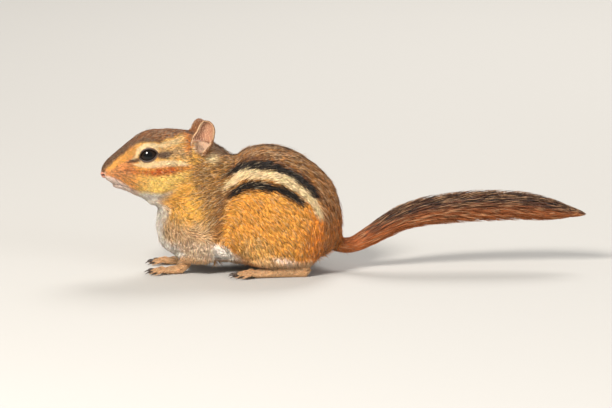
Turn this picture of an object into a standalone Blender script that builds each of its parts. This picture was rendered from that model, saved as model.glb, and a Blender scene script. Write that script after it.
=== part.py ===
"""Life-size still model of an eastern chipmunk, crouched with its head low and its tail held out behind it.

The nose points along -X, the animal's left side is at -Y, and the soles stand on Z = 0.
Sizes below are in millimetres. The flesh is modelled whole, out to the tips of the short coat,
and then parted by thin cuts into the pieces that a person would name.
"""

import math

import bmesh
import bpy
import numpy as np
from mathutils import Matrix, Vector

MM = 0.001
GAP = 0.3

# The head has its own axes: the origin is the joint with the neck, and the nose points along -X.
HEAD_JOINT = (-54.6, 0.0, 49.9)
HEAD_TURN_DEG = 6.0
HEAD_LEAN_DEG = 7.0

# Grain of the whole flesh before it is parted, and how far its joints are smoothed.
FLESH_VOXEL = 0.7
FLESH_SMOOTHING = 12
HEAD_TRIANGLES = 8150
BODY_TRIANGLES = 3400
SHARP_EDGE_DEG = 50.0

# Sections of the trunk: x, top, bottom, half width, height of the widest place.
TRUNK_SECTIONS = (
    (-77.0, 24.0, 14.0, 3.4, 18.5),
    (-75.6, 30.0, 10.5, 6.6, 18.0),
    (-72.5, 36.5, 8.0, 10.2, 17.5),
    (-68.0, 43.0, 6.2, 13.2, 17.5),
    (-62.0, 49.5, 5.0, 15.8, 18.0),
    (-56.0, 52.4, 4.4, 17.4, 18.5),
    (-50.5, 50.6, 4.0, 18.4, 19.0),
    (-45.9, 47.6, 3.6, 19.2, 19.0),
    (-41.5, 50.4, 3.2, 20.2, 19.5),
    (-36.0, 52.7, 3.0, 21.6, 20.0),
    (-30.0, 53.4, 3.0, 22.7, 20.5),
    (-24.0, 52.4, 3.2, 23.2, 20.5),
    (-18.0, 49.9, 3.8, 22.6, 20.0),
    (-12.0, 46.0, 4.8, 20.4, 19.5),
    (-7.0, 41.6, 6.4, 17.2, 19.0),
    (-3.0, 36.8, 8.6, 13.0, 18.8),
    (-0.4, 31.0, 11.4, 8.4, 19.0),
    (0.7, 25.0, 14.6, 4.2, 19.4),
)
TRUNK_ENDS = ((-77.4, 0.0, 18.8), (1.1, 0.0, 19.8))
TRUNK_BACK_ROUND = 2.05
TRUNK_BELLY_ROUND = 2.5

# Sections of the head, in its own axes, in the same order.
HEAD_SECTIONS = (
    (-45.8, -5.1, -9.2, 1.6, -7.3),
    (-45.0, -3.9, -10.0, 2.6, -7.8),
    (-43.4, -2.3, -11.0, 3.8, -8.3),
    (-41.4, -0.5, -12.5, 4.8, -8.8),
    (-38.4, 1.9, -14.4, 6.1, -9.1),
    (-34.6, 4.9, -16.2, 7.5, -9.1),
    (-30.4, 8.0, -18.2, 9.2, -8.6),
    (-26.0, 9.8, -20.0, 10.9, -8.2),
    (-20.0, 10.2, -21.2, 12.5, -8.6),
    (-14.0, 10.1, -21.6, 13.7, -9.4),
    (-8.0, 9.0, -21.4, 14.2, -9.8),
    (-2.0, 6.6, -20.4, 13.9, -9.6),
    (4.0, 3.0, -18.4, 12.6, -9.0),
    (9.0, -1.4, -15.4, 9.2, -8.4),
)
HEAD_ENDS = ((-46.2, 0.0, -7.1), (12.0, 0.0, -8.2))
HEAD_CROWN_ROUND = 2.15
HEAD_JAW_ROUND = 2.2

# Head features, in the head's axes, for the left side. The right side mirrors them.
MUZZLE_PAD = ((-39.4, -3.2, -9.3), (4.6, 3.2, 3.0))
LOWER_LIP = ((-37.6, 0.0, -13.4), (3.8, 3.2, 1.5))
CHEEK = ((-18.0, -5.4, -10.0), (15.0, 8.4, 9.6))
SOCKET = ((-25.4, -6.4, 0.0), (9.5, 5.0, 6.6))
THROAT = ((-17.0, 0.0, -17.6), (11.0, 8.6, 6.6))
EYE_AT = (-26.2, -7.8, -0.8)
EYE_RADIUS = 4.4
LID_THICKNESS = 0.7
EYE_OPENING = (4.0, 2.7)
EYE_SLANT_DEG = 13.0
EYE_LOOKS = (-0.20, -0.97, 0.10)
NOSE_AT = (-44.5, 0.0, -8.1)
NOSE_RADII = (2.0, 2.3, 2.0)
NOSTRIL_AT = (-45.8, -1.6, -8.3)
NOSTRIL_RADII = (1.0, 0.6, 0.6)
# The lower jaw is what an oval ball under the muzzle parts from the head. Its edge is the mouth line.
JAW_CUT = ((-36.2, 0.0, -15.0), (7.8, 4.9, 3.4))

# The ear is a scoop: arcs of this radius and half angle, from base to tip along its axis.
EAR_BASE = (-5.0, -9.2, 0.2)
EAR_TIP = (-1.8, -12.4, 13.2)
EAR_OPENS = (-0.52, -0.85, 0.05)
EAR_RADIUS = 4.5
EAR_BASE_RADIUS = 3.2
EAR_BASE_ARC_DEG = 140.0
EAR_TIP_ARC_DEG = 62.0
EAR_THICKNESS = 0.75
# Shares of the ear's height: where it is fully wide, where its top begins to close and how sharply,
# and where its arc has opened. The axis stands this share of the radius in front of the ear's back.
EAR_WIDE_AT = 0.55
EAR_CLOSES_FROM = 0.45
EAR_CLOSES_POWER = 3.2
EAR_TIP_SHARE = 0.12
EAR_OPEN_AT = 0.6
EAR_AXIS_SHARE = 0.35
# The right ear is held this much further forward.
EAR_RIGHT_FORWARD = 1.0

# Limbs, left side: points and radii along each, in the world's axes.
SHOULDER = ((-58.5, -11.2, 23.0), (9.5, 7.0, 13.5))
ARM_POINTS = (
    (-58.0, -12.8, 20.0),
    (-55.5, -13.6, 12.5),
    (-57.8, -12.6, 7.8),
    (-63.0, -11.0, 5.0),
    (-67.5, -10.2, 3.4),
)
ARM_RADII = (6.4, 5.0, 4.2, 3.3, 2.6)
HAUNCH = ((-22.5, -15.4, 20.0), (19.0, 9.2, 18.0))
HAUNCH_TURN_DEG = 12.0
KNEE = ((-32.0, -16.6, 14.5), (10.5, 8.0, 11.0))
SHIN_POINTS = ((-32.5, -18.0, 12.0), (-31.0, -18.4, 8.0), (-24.0, -18.2, 6.4), (-15.0, -17.6, 6.2))
SHIN_RADII = (5.6, 5.2, 4.4, 3.6)

# Feet, left side: the wrist or ankle, the way the toes point, and the sizes of the sole and toes.
FOREFOOT = {
    "root": (-66.0, -10.4),
    "sunk": 0.5,
    "heading_deg": 8.0,
    "sole_length": 7.6,
    "sole_widths": (4.6, 6.2, 5.8),
    "sole_heights": (4.6, 4.2, 3.2),
    "ankle": ((0.6, 0.0, 2.4), (-1.6, 0.0, 5.0), (-4.0, 0.0, 8.0)),
    "ankle_radius": 2.7,
    "toe_length": 6.2,
    "toe_radius": 1.05,
    "toe_fan_deg": (-27.0, -9.0, 9.0, 27.0),
    "toe_share": (0.86, 1.0, 1.0, 0.84),
    "claw": 2.2,
}
HINDFOOT = {
    "root": (-14.0, -17.8),
    "sunk": 0.6,
    "heading_deg": 5.0,
    "sole_length": 22.0,
    "sole_widths": (4.8, 6.2, 7.6),
    "sole_heights": (6.4, 5.6, 3.8),
    "ankle": ((1.0, 0.0, 3.2), (1.6, 0.0, 6.0), (3.0, 0.0, 8.5)),
    "ankle_radius": 3.0,
    "toe_length": 8.2,
    "toe_radius": 1.15,
    "toe_fan_deg": (-24.0, -12.0, 0.0, 12.0, 25.0),
    "toe_share": (0.72, 0.95, 1.0, 0.96, 0.76),
    "claw": 2.6,
}
CLAW_ROOT = 0.55
CLAW_POINT = 0.35
# A toe begins inside the sole. Its height above a straight line, and its thickness, in shares of its radius.
TOE_ROOT_INSIDE = 1.2
TOE_ROW_SHARE = 0.86
TOE_RISE = ((0.0, 0.0), (0.4, 0.75), (0.75, 0.38), (1.0, 0.0))
TOE_SWELL = (1.0, 1.05, 0.95, 0.72)
TOE_KNUCKLE_HEIGHT = 1.1
TOE_TIP_HEIGHT = 0.72
# A claw begins inside the toe and arches by this share of the toe's radius.
CLAW_INSIDE = 0.5
CLAW_ARCH = 0.34
# The room under each leg that its foot has: limits along X, outwards from the middle, and the top.
FOREFOOT_ROOM = ((-86.0, -54.5), (5.0, 18.6), 4.6)
HINDFOOT_ROOM = ((-52.0, -9.0), (12.5, 28.5), 5.0)

# Tail: the line of its middle from the rump to the tip, and the brush's half width and half height.
TAIL_POINTS = (
    (-7.0, 0.0, 14.0),
    (-1.0, 0.0, 10.6),
    (4.0, 0.2, 10.2),
    (10.5, 0.8, 12.8),
    (18.5, 1.8, 17.4),
    (26.5, 3.0, 21.4),
    (36.0, 4.4, 23.8),
    (49.0, 6.0, 25.2),
    (63.0, 7.2, 25.8),
    (77.0, 7.6, 25.6),
    (90.0, 7.0, 24.0),
    (100.2, 6.0, 22.8),
)
TAIL_WIDTHS = (3.4, 3.4, 3.4, 4.2, 5.6, 7.2, 8.2, 8.8, 8.8, 7.8, 5.2, 0.9)
TAIL_HEIGHTS = (3.2, 3.0, 2.8, 3.6, 4.4, 5.2, 6.0, 6.5, 6.6, 6.0, 4.2, 0.8)

# The brush: a slim core, and rings of flat tapered locks that lie back along it.
CORE_SHARE = 0.46
CORE_END = 0.95
LOCK_RING_STEP = 7.0
LOCK_RING_FIRST = 17.0
LOCK_RING_LAST = 108.0
LOCKS_IN_RING = 6
LOCK_LENGTH = 15.0
LOCK_BASE_LENGTH = 7.0
LOCK_HALF_WIDTH = 1.9
LOCK_HALF_THICKNESS = 0.55
LOCK_ROOT_DEPTH = 0.18
LOCK_SEED = 11
# How a lock runs: shares of its length, its width and thickness there, and how fast it rises from the core.
LOCK_SHARES = (0.0, 0.34, 0.7, 1.0)
LOCK_WIDTHS = (0.75, 1.0, 0.72)
LOCK_THICKNESSES = (1.2, 1.1, 0.9)
LOCK_RISE_POWER = 1.7
# Locks grow to their full length over this stretch, and narrow again towards the tip.
LOCK_GROWS_OVER = 22.0
LOCK_NARROWS_OVER = 40.0
# Small differences between locks: angle in shares of a step, start, reach and length.
LOCK_ANGLE_DRAW = 0.16
LOCK_START_DRAW = 1.2
LOCK_REACH_DRAW = (0.86, 1.04)
LOCK_LENGTH_DRAW = (0.88, 1.12)

# Cutting planes: a point and the way to the piece in front.
HEAD_PLANE = ((-53.0, 0.0, 54.4), (-0.72, 0.0, 0.69))
NECK_PLANE = ((-47.4, 0.0, 49.0), (-0.86, 0.0, 0.51))
CHEST_PLANE = ((-43.4, 0.0, 26.0), (-1.0, 0.0, 0.0))
RUMP_PLANE = ((-11.5, 0.0, 30.0), (-0.97, 0.0, -0.24))
TAIL_PLANE = ((5.5, 0.0, 11.0), (-0.95, 0.0, -0.3))
SHOULDER_CUT = ((-58.6, -17.0, 14.0), (11.0, 11.5, 15.5))
HAUNCH_CUT = ((-22.5, -22.0, 17.5), (20.5, 12.5, 18.5))


def clear_scene():
    """Takes out everything that the file opens with."""
    for obj in list(bpy.data.objects):
        bpy.data.objects.remove(obj, do_unlink=True)


def collection(name):
    """A new collection in the scene."""
    made = bpy.data.collections.new(name)
    bpy.context.scene.collection.children.link(made)
    return made


def material(name, colour, roughness):
    """A plain Principled material, with its colour also shown in the viewport."""
    made = bpy.data.materials.new(name)
    made.use_nodes = True
    shader = made.node_tree.nodes["Principled BSDF"]
    shader.inputs["Base Color"].default_value = (*colour, 1.0)
    shader.inputs["Roughness"].default_value = roughness
    shader.inputs["Metallic"].default_value = 0.0
    made.diffuse_color = (*colour, 1.0)
    return made


def object_of(name, mesh, where):
    """An object with this mesh, in this collection."""
    made = bpy.data.objects.new(name, mesh)
    where.objects.link(made)
    return made


def remove(*objects):
    """Deletes helpers that have done their work."""
    for obj in objects:
        bpy.data.objects.remove(obj, do_unlink=True)


def apply_modifiers(obj):
    """Replaces an object's mesh by the shape that its modifiers make of it."""
    bpy.context.view_layer.update()
    graph = bpy.context.evaluated_depsgraph_get()
    mesh = bpy.data.meshes.new_from_object(obj.evaluated_get(graph))
    obj.modifiers.clear()
    obj.data = mesh
    return obj


def mesh_of(name, points, faces):
    """A mesh from points in millimetres and faces, with its faces turned outwards."""
    mesh = bpy.data.meshes.new(name)
    mesh.from_pydata((np.asarray(points) * MM).tolist(), [], faces)
    work = bmesh.new()
    work.from_mesh(mesh)
    bmesh.ops.recalc_face_normals(work, faces=work.faces)
    work.to_mesh(mesh)
    work.free()
    return mesh


def smooth_rows(rows, count):
    """Rows read evenly off a smooth cubic curve that passes through the given rows."""
    rows = np.array(rows, float)
    at = np.concatenate([[0.0], np.cumsum(np.linalg.norm(np.diff(rows, axis=0), axis=1))])
    slope = np.gradient(rows, at, axis=0)
    where = np.linspace(0.0, at[-1], count)
    i = np.clip(np.searchsorted(at, where, side="right") - 1, 0, len(at) - 2)
    span = (at[i + 1] - at[i])[:, None]
    u = (where - at[i])[:, None] / span
    return (
        (2 * u**3 - 3 * u**2 + 1) * rows[i]
        + (u**3 - 2 * u**2 + u) * span * slope[i]
        + (3 * u**2 - 2 * u**3) * rows[i + 1]
        + (u**3 - u**2) * span * slope[i + 1]
    )


def loft(name, rings, first, last):
    """A closed skin over rings of points, each end drawn to one point."""
    rings = np.asarray(rings, float)
    rows, around = rings.shape[:2]
    points = np.vstack([rings.reshape(-1, 3), [first], [last]])
    head, tail = rows * around, rows * around + 1
    steps = [(i, (i + 1) % around) for i in range(around)]
    faces = []
    for row in range(rows - 1):
        near, far = row * around, (row + 1) * around
        faces += [(near + i, near + j, far + j, far + i) for i, j in steps]
    end = (rows - 1) * around
    faces += [(head, j, i) for i, j in steps]
    faces += [(tail, end + i, end + j) for i, j in steps]
    return mesh_of(name, points, faces)


def rounded(value, power):
    """A sine or cosine bent so that a circle becomes a squarer or a more pointed oval."""
    return np.sign(value) * np.abs(value) ** (2.0 / power)


def sectioned(name, sections, ends, top_round, bottom_round, count, around):
    """A body lofted over upright sections, each an oval with unlike upper and lower halves."""
    angle = np.arange(around) * 2 * math.pi / around
    rings = []
    for x, top, bottom, half_width, widest in smooth_rows(sections, count):
        upper = np.cos(angle) > 0
        power = np.where(upper, top_round, bottom_round)
        y = half_width * rounded(np.sin(angle), power)
        height = np.where(upper, top - widest, widest - bottom)
        z = widest + height * rounded(np.cos(angle), power)
        rings.append(np.column_stack([np.full(around, x), y, z]))
    return loft(name, rings, *ends)


def frames_along(points):
    """For each point of a path, its direction, a level side direction and the up direction between them."""
    along = np.gradient(points, axis=0)
    along /= np.linalg.norm(along, axis=1)[:, None]
    side = np.cross(along, [0.0, 0.0, 1.0])
    side /= np.linalg.norm(side, axis=1)[:, None]
    return along, side, np.cross(side, along)


def tube(name, points, widths, heights, count, around, blunt=0.8):
    """A tapering tube of oval sections on a smooth path, with rounded ends."""
    rows = smooth_rows(np.column_stack([points, widths, heights]), count)
    path, width, height = rows[:, :3], rows[:, 3], rows[:, 4]
    along, side, up = frames_along(path)
    angle = np.arange(around) * 2 * math.pi / around
    rings = (
        path[:, None]
        + side[:, None] * (width[:, None] * np.cos(angle))[..., None]
        + up[:, None] * (height[:, None] * np.sin(angle))[..., None]
    )
    first = path[0] - along[0] * height[0] * blunt
    last = path[-1] + along[-1] * height[-1] * blunt
    return loft(name, rings, first, last)


def ball(name, centre, radii, turn=None, segments=32):
    """An oval ball: a unit sphere scaled by its three radii, turned, and put in place."""
    work = bmesh.new()
    bmesh.ops.create_uvsphere(work, u_segments=segments, v_segments=segments // 2, radius=1.0)
    place = Matrix.Translation(Vector(centre) * MM) @ (turn or Matrix.Identity(4))
    size = Matrix.Diagonal((*(radius * MM for radius in radii), 1.0))
    bmesh.ops.transform(work, matrix=place @ size, verts=work.verts)
    mesh = bpy.data.meshes.new(name)
    work.to_mesh(mesh)
    work.free()
    return mesh


def tail_frame(count=90):
    """The tail read finely along its length: distance, middle, side, up, half width and half height."""
    rows = smooth_rows(np.column_stack([TAIL_POINTS, TAIL_WIDTHS, TAIL_HEIGHTS]), count)
    middle = rows[:, :3]
    along, side, up = frames_along(middle)
    distance = np.concatenate([[0.0], np.cumsum(np.linalg.norm(np.diff(middle, axis=0), axis=1))])
    return distance, np.column_stack([middle, side, up, rows[:, 3:]])


def lock(tail, start, angle, length, reach, half_width):
    """A flat lock that leaves the core, bends over and lies along the tail, out to its share of the brush."""
    distance, frame = tail
    share = np.array(LOCK_SHARES)
    at = np.minimum(start + length * share, distance[-1])
    rows = np.column_stack([np.interp(at, distance, column) for column in frame.T])
    middle, side, up, width, height = np.split(rows, (3, 6, 9, 10), axis=1)
    out = LOCK_ROOT_DEPTH + (reach - LOCK_ROOT_DEPTH) * (1.0 - (1.0 - share) ** LOCK_RISE_POWER)[:, None]
    line = middle + side * width * out * math.cos(angle) + up * height * out * math.sin(angle)
    outward = side * width * math.cos(angle) + up * height * math.sin(angle)
    outward /= np.linalg.norm(outward, axis=1)[:, None]
    along = np.gradient(line, axis=0)
    across = np.cross(along, outward)
    across /= np.linalg.norm(across, axis=1)[:, None]
    over = np.cross(across, along)
    over /= np.linalg.norm(over, axis=1)[:, None]
    body = line[:3]
    flat = across[:3] * half_width * np.array(LOCK_WIDTHS)[:, None]
    thick = over[:3] * LOCK_HALF_THICKNESS * np.array(LOCK_THICKNESSES)[:, None]
    rings = np.stack([body + flat, body + thick, body - flat, body - thick], axis=1)
    return loft("lock", rings, body[0] - along[0] * 0.02, line[3])


def tail_locks(tail):
    """Staggered rings of locks from the short hair at the root of the tail to its tip."""
    draw = np.random.default_rng(LOCK_SEED)
    locks = []
    starts = np.arange(LOCK_RING_FIRST, LOCK_RING_LAST, LOCK_RING_STEP)
    end = tail[0][-1]
    for ring, ring_start in enumerate(starts):
        full = min(1.0, (ring_start - LOCK_RING_FIRST) / LOCK_GROWS_OVER)
        length = LOCK_BASE_LENGTH + (LOCK_LENGTH - LOCK_BASE_LENGTH) * full
        narrow = min(1.0, 0.55 + 0.45 * full, 0.5 + (end - ring_start) / LOCK_NARROWS_OVER)
        for number in range(LOCKS_IN_RING):
            step = number + 0.5 * (ring % 2) + draw.uniform(-LOCK_ANGLE_DRAW, LOCK_ANGLE_DRAW)
            angle = step * 2 * math.pi / LOCKS_IN_RING
            start = ring_start + draw.uniform(-LOCK_START_DRAW, LOCK_START_DRAW)
            reach = draw.uniform(*LOCK_REACH_DRAW)
            own_length = min(length * draw.uniform(*LOCK_LENGTH_DRAW), end - start)
            locks.append(lock(tail, start, angle, own_length, reach, LOCK_HALF_WIDTH * narrow))
    return locks


def mirrored(point, side):
    """The same place on the left side, side -1, or on the right side, side +1."""
    return (point[0], -side * point[1], point[2]) if side > 0 else tuple(point)


def head_place():
    """Carries the head's own axes to the world's: turned a little to the left, its crown leaning right."""
    turn = Matrix.Rotation(math.radians(HEAD_TURN_DEG), 4, "Z")
    lean = Matrix.Rotation(math.radians(-HEAD_LEAN_DEG), 4, "X")
    return Matrix.Translation(Vector(HEAD_JOINT) * MM) @ turn @ lean


def placed(mesh, matrix):
    """A mesh moved by a matrix."""
    mesh.transform(matrix)
    return mesh


def joined(name, meshes, where):
    """One object that holds all these meshes as loose shells."""
    work = bmesh.new()
    for mesh in meshes:
        work.from_mesh(mesh)
        bpy.data.meshes.remove(mesh)
    mesh = bpy.data.meshes.new(name)
    work.to_mesh(mesh)
    work.free()
    return object_of(name, mesh, where)


def largest_body(obj):
    """Keeps only the largest closed surface of a mesh."""
    work = bmesh.new()
    work.from_mesh(obj.data)
    bmesh.ops.remove_doubles(work, verts=work.verts, dist=0.00001 * MM)
    left, bodies = set(work.verts), []
    while left:
        todo, body = [left.pop()], set()
        while todo:
            vert = todo.pop()
            body.add(vert)
            near = {edge.other_vert(vert) for edge in vert.link_edges} & left
            left -= near
            todo.extend(near)
        bodies.append(body)
    bodies.sort(key=len)
    loose = [vert for body in bodies[:-1] for vert in body]
    bmesh.ops.delete(work, geom=loose, context="VERTS")
    work.to_mesh(obj.data)
    work.free()
    return obj


def combine(obj, operation, *others, solver="EXACT"):
    """Cuts, keeps or joins an object by others, which are then removed."""
    for other in others:
        modifier = obj.modifiers.new(operation.title(), "BOOLEAN")
        modifier.operation = operation
        modifier.solver = solver
        modifier.object = other
        apply_modifiers(obj)
        remove(other)
    return obj


def fuse(name, meshes, where, solver="EXACT"):
    """One closed body from overlapping closed meshes, by a Boolean union on a collection."""
    pieces = bpy.data.collections.new(name + "_pieces")
    bpy.context.scene.collection.children.link(pieces)
    for number, mesh in enumerate(meshes[1:]):
        object_of(f"{name}_piece_{number}", mesh, pieces)
    body = object_of(name, meshes[0], where)
    modifier = body.modifiers.new("Union", "BOOLEAN")
    modifier.operation = "UNION"
    modifier.operand_type = "COLLECTION"
    modifier.collection = pieces
    modifier.solver = solver
    apply_modifiers(body)
    remove(*list(pieces.objects))
    bpy.data.collections.remove(pieces)
    return largest_body(body)


def half_space(point, normal, helpers, lift=0.0):
    """A great block whose one face is a cutting plane, on the side that the normal points to."""
    size = 300.0
    normal = Vector(normal).normalized()
    work = bmesh.new()
    bmesh.ops.create_cube(work, size=size * MM)
    centre = Vector(point) + normal * (size / 2 + lift)
    place = Matrix.Translation(centre * MM) @ normal.to_track_quat("Z", "Y").to_matrix().to_4x4()
    bmesh.ops.transform(work, matrix=place, verts=work.verts)
    mesh = bpy.data.meshes.new("cutting_block")
    work.to_mesh(mesh)
    work.free()
    return object_of("cutting_block", mesh, helpers)


def box_between(x_range, y_range, z_range, helpers):
    """A box cutter between pairs of limits."""
    work = bmesh.new()
    bmesh.ops.create_cube(work, size=MM)
    size = [high - low for low, high in (x_range, y_range, z_range)]
    middle = [(high + low) / 2 for low, high in (x_range, y_range, z_range)]
    place = Matrix.Translation(Vector(middle) * MM) @ Matrix.Diagonal((*size, 1.0))
    bmesh.ops.transform(work, matrix=place, verts=work.verts)
    mesh = bpy.data.meshes.new("box_cutter")
    work.to_mesh(mesh)
    work.free()
    return object_of("box_cutter", mesh, helpers)


def ball_cutter(centre, radii, helpers, grow=0.0, turn=None, segments=20):
    """An oval ball that cuts, or keeps, what it covers."""
    radii = [r + grow for r in radii]
    return object_of("ball_cutter", ball("ball_cutter", centre, radii, turn, segments), helpers)


def turned_y(degrees):
    """A turn about the Y axis."""
    return Matrix.Rotation(math.radians(degrees), 4, "Y")


def head_masses():
    """The skull with its muzzle pads, cheeks, brows and the domes that the lids are cut from."""
    masses = [
        sectioned("skull", HEAD_SECTIONS, HEAD_ENDS, HEAD_CROWN_ROUND, HEAD_JAW_ROUND, 44, 40),
    ]
    lid_radius = EYE_RADIUS + GAP + LID_THICKNESS
    for side in (-1, 1):
        for place, radii in (MUZZLE_PAD, CHEEK, SOCKET, LOWER_LIP, THROAT):
            masses.append(ball("pad", mirrored(place, side), radii))
        masses.append(ball("lid_dome", mirrored(EYE_AT, side), (lid_radius,) * 3))
    return [placed(mesh, head_place()) for mesh in masses]


def limb_masses():
    """Shoulders, arms, haunches and shins of both sides."""
    masses = []
    for side in (-1, 1):
        masses.append(ball("shoulder", mirrored(SHOULDER[0], side), SHOULDER[1]))
        masses.append(ball("haunch", mirrored(HAUNCH[0], side), HAUNCH[1], turned_y(HAUNCH_TURN_DEG)))
        masses.append(ball("knee", mirrored(KNEE[0], side), KNEE[1]))
        arm = [mirrored(p, side) for p in ARM_POINTS]
        masses.append(tube("arm", arm, ARM_RADII, ARM_RADII, 16, 20))
        shin = [mirrored(p, side) for p in SHIN_POINTS]
        masses.append(tube("shin", shin, SHIN_RADII, SHIN_RADII, 14, 20))
    return masses


def tail_root():
    """The first stretch of the tail, which grows out of the rump."""
    points, widths, heights = TAIL_POINTS[:5], TAIL_WIDTHS[:5], TAIL_HEIGHTS[:5]
    return tube("tail_root", points, widths, heights, 14, 20)


def tail_core():
    """The slim core of the brush, full at the short-haired root and half as thick under the locks."""
    share = np.interp(np.arange(len(TAIL_POINTS)), (2, 4), (1.0, CORE_SHARE))
    widths, heights = TAIL_WIDTHS * share, TAIL_HEIGHTS * share
    points = np.array(TAIL_POINTS, float)
    points[-1] = points[-2] + (points[-1] - points[-2]) * CORE_END
    return tube("core", points, widths, heights, 26, 10)


def whole_flesh(helpers):
    """All the masses grown together and smoothed, as one closed skin."""
    trunk = sectioned("trunk", TRUNK_SECTIONS, TRUNK_ENDS, TRUNK_BACK_ROUND, TRUNK_BELLY_ROUND, 56, 48)
    flesh = joined("flesh", [trunk, tail_root(), *head_masses(), *limb_masses()], helpers)
    remesh = flesh.modifiers.new("Grow together", "REMESH")
    remesh.mode = "VOXEL"
    remesh.voxel_size = FLESH_VOXEL * MM
    smooth = flesh.modifiers.new("Soften", "SMOOTH")
    smooth.factor = 0.5
    smooth.iterations = FLESH_SMOOTHING
    return largest_body(apply_modifiers(flesh))


def thinned(flesh, name, triangles, where):
    """A copy of the flesh with about this many triangles."""
    copy = object_of(name, flesh.data.copy(), where)
    faces = sum(len(p.vertices) - 2 for p in flesh.data.polygons)
    modifier = copy.modifiers.new("Fewer faces", "DECIMATE")
    modifier.ratio = triangles / faces
    modifier.use_collapse_triangulate = True
    return apply_modifiers(copy)


def digit(spec, fan_deg, share):
    """A toe that arches from the sole to the floor, and its claw."""
    radius, fan = spec["toe_radius"], math.radians(fan_deg)
    reach = np.array([math.cos(fan), math.sin(fan), 0.0])
    up = np.array([0.0, 0.0, radius])
    root_x = spec["sole_length"] - TOE_ROOT_INSIDE
    root_y = spec["sole_widths"][2] * TOE_ROW_SHARE * math.sin(fan)
    knuckle = np.array([root_x, root_y, radius * TOE_KNUCKLE_HEIGHT])
    tip = knuckle + reach * (spec["toe_length"] * share + TOE_ROOT_INSIDE)
    tip[2] = radius * TOE_TIP_HEIGHT
    points = [knuckle + (tip - knuckle) * at + up * rise for at, rise in TOE_RISE]
    radii = [radius * swell for swell in TOE_SWELL]
    toe = tube("toe", points, radii, radii, 4, 6)
    point = tip + reach * spec["claw"]
    point[2] = CLAW_POINT
    arch = up * CLAW_ARCH
    claw_points = [tip - reach * CLAW_INSIDE + arch, tip + reach * spec["claw"] / 2 + arch, point]
    claw_radii = (CLAW_ROOT, CLAW_ROOT * 0.75, CLAW_POINT / 2)
    return [toe, tube("claw", claw_points, claw_radii, claw_radii, 3, 4)]


def foot(name, spec, top, side, where, helpers):
    """A foot: a sole, an ankle and fanned toes with claws, cut flat on the floor and below its leg."""
    widths = [w / 2 for w in spec["sole_widths"]]
    heights = [h / 2 for h in spec["sole_heights"]]
    steps = (0.0, 0.5, 1.0)
    sole = [(spec["sole_length"] * t, 0.0, h - spec["sunk"]) for t, h in zip(steps, heights)]
    meshes = [tube("sole", sole, widths, heights, 5, 10)]
    ankle_radii = (spec["ankle_radius"],) * 3
    meshes.append(tube("ankle", spec["ankle"], ankle_radii, ankle_radii, 4, 9))
    for fan_deg, share in zip(spec["toe_fan_deg"], spec["toe_share"]):
        meshes += digit(spec, fan_deg, share)
    x, y = spec["root"]
    turn = Matrix.Rotation(math.radians(180.0 - side * spec["heading_deg"]), 4, "Z")
    place = Matrix.Translation(Vector((x, -side * y, 0.0)) * MM) @ turn
    made = fuse(name, [placed(mesh, place) for mesh in meshes], where)
    floor = half_space((0, 0, 0), (0, 0, 1), helpers)
    leg = half_space((0, 0, top), (0, 0, -1), helpers)
    return combine(made, "INTERSECT", floor, leg)


def ear_surface(side, rows=9, around=8):
    """The ear as a scoop: at each height an arc of a circle, open at the tip and almost shut at the base."""
    forward = np.array([-EAR_RIGHT_FORWARD if side > 0 else 0.0, 0.0, 0.0])
    base, tip = (np.array(mirrored(point, side)) + forward for point in (EAR_BASE, EAR_TIP))
    opens = np.array(mirrored(EAR_OPENS, side))
    axis = (tip - base) / np.linalg.norm(tip - base)
    opens = opens - axis * (opens @ axis)
    opens /= np.linalg.norm(opens)
    across = np.cross(axis, opens)
    height = 1.0 - (1.0 - np.linspace(0.0, 0.985, rows)) ** 1.5
    widening = np.sin(np.minimum(height / EAR_WIDE_AT, 1.0) * math.pi / 2)
    swell = EAR_BASE_RADIUS + (EAR_RADIUS - EAR_BASE_RADIUS) * widening
    closed = np.clip((height - EAR_CLOSES_FROM) / (1.0 - EAR_CLOSES_FROM), 0.0, 1.0)
    radius = swell * np.maximum(np.sqrt(1.0 - closed**EAR_CLOSES_POWER), EAR_TIP_SHARE)
    opened = np.minimum(height / EAR_OPEN_AT, 1.0)
    arc = np.radians(EAR_BASE_ARC_DEG + (EAR_TIP_ARC_DEG - EAR_BASE_ARC_DEG) * opened)
    turn = np.linspace(-1.0, 1.0, around)[None] * arc[:, None]
    points = (
        base
        + (axis * np.linalg.norm(tip - base)) * height[:, None, None]
        - opens * (radius[:, None] * (np.cos(turn) - EAR_AXIS_SHARE))[..., None]
        + across * (radius[:, None] * np.sin(turn))[..., None]
    )
    faces = [
        (r * around + i, r * around + i + 1, (r + 1) * around + i + 1, (r + 1) * around + i)
        for r in range(rows - 1)
        for i in range(around - 1)
    ]
    return points.reshape(-1, 3), faces


def ear(name, side, flesh_clear, where):
    """An ear with its wall's thickness, its root cut to sit on the head and the neck."""
    points, faces = ear_surface(side)
    made = object_of(name, placed(mesh_of(name, points, faces), head_place()), where)
    wall = made.modifiers.new("Wall", "SOLIDIFY")
    wall.thickness = EAR_THICKNESS * MM
    wall.offset = 0.0
    apply_modifiers(made)
    clear = [object_of("clear", grown_flesh.data.copy(), where) for grown_flesh in flesh_clear]
    return largest_body(combine(made, "DIFFERENCE", *clear))


def grown(obj, by, where):
    """A copy of an object pushed out along its normals."""
    copy = object_of(obj.name + "_grown", obj.data.copy(), where)
    modifier = copy.modifiers.new("Grow", "DISPLACE")
    modifier.strength = by * MM
    modifier.mid_level = 0.0
    return apply_modifiers(copy)


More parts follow.
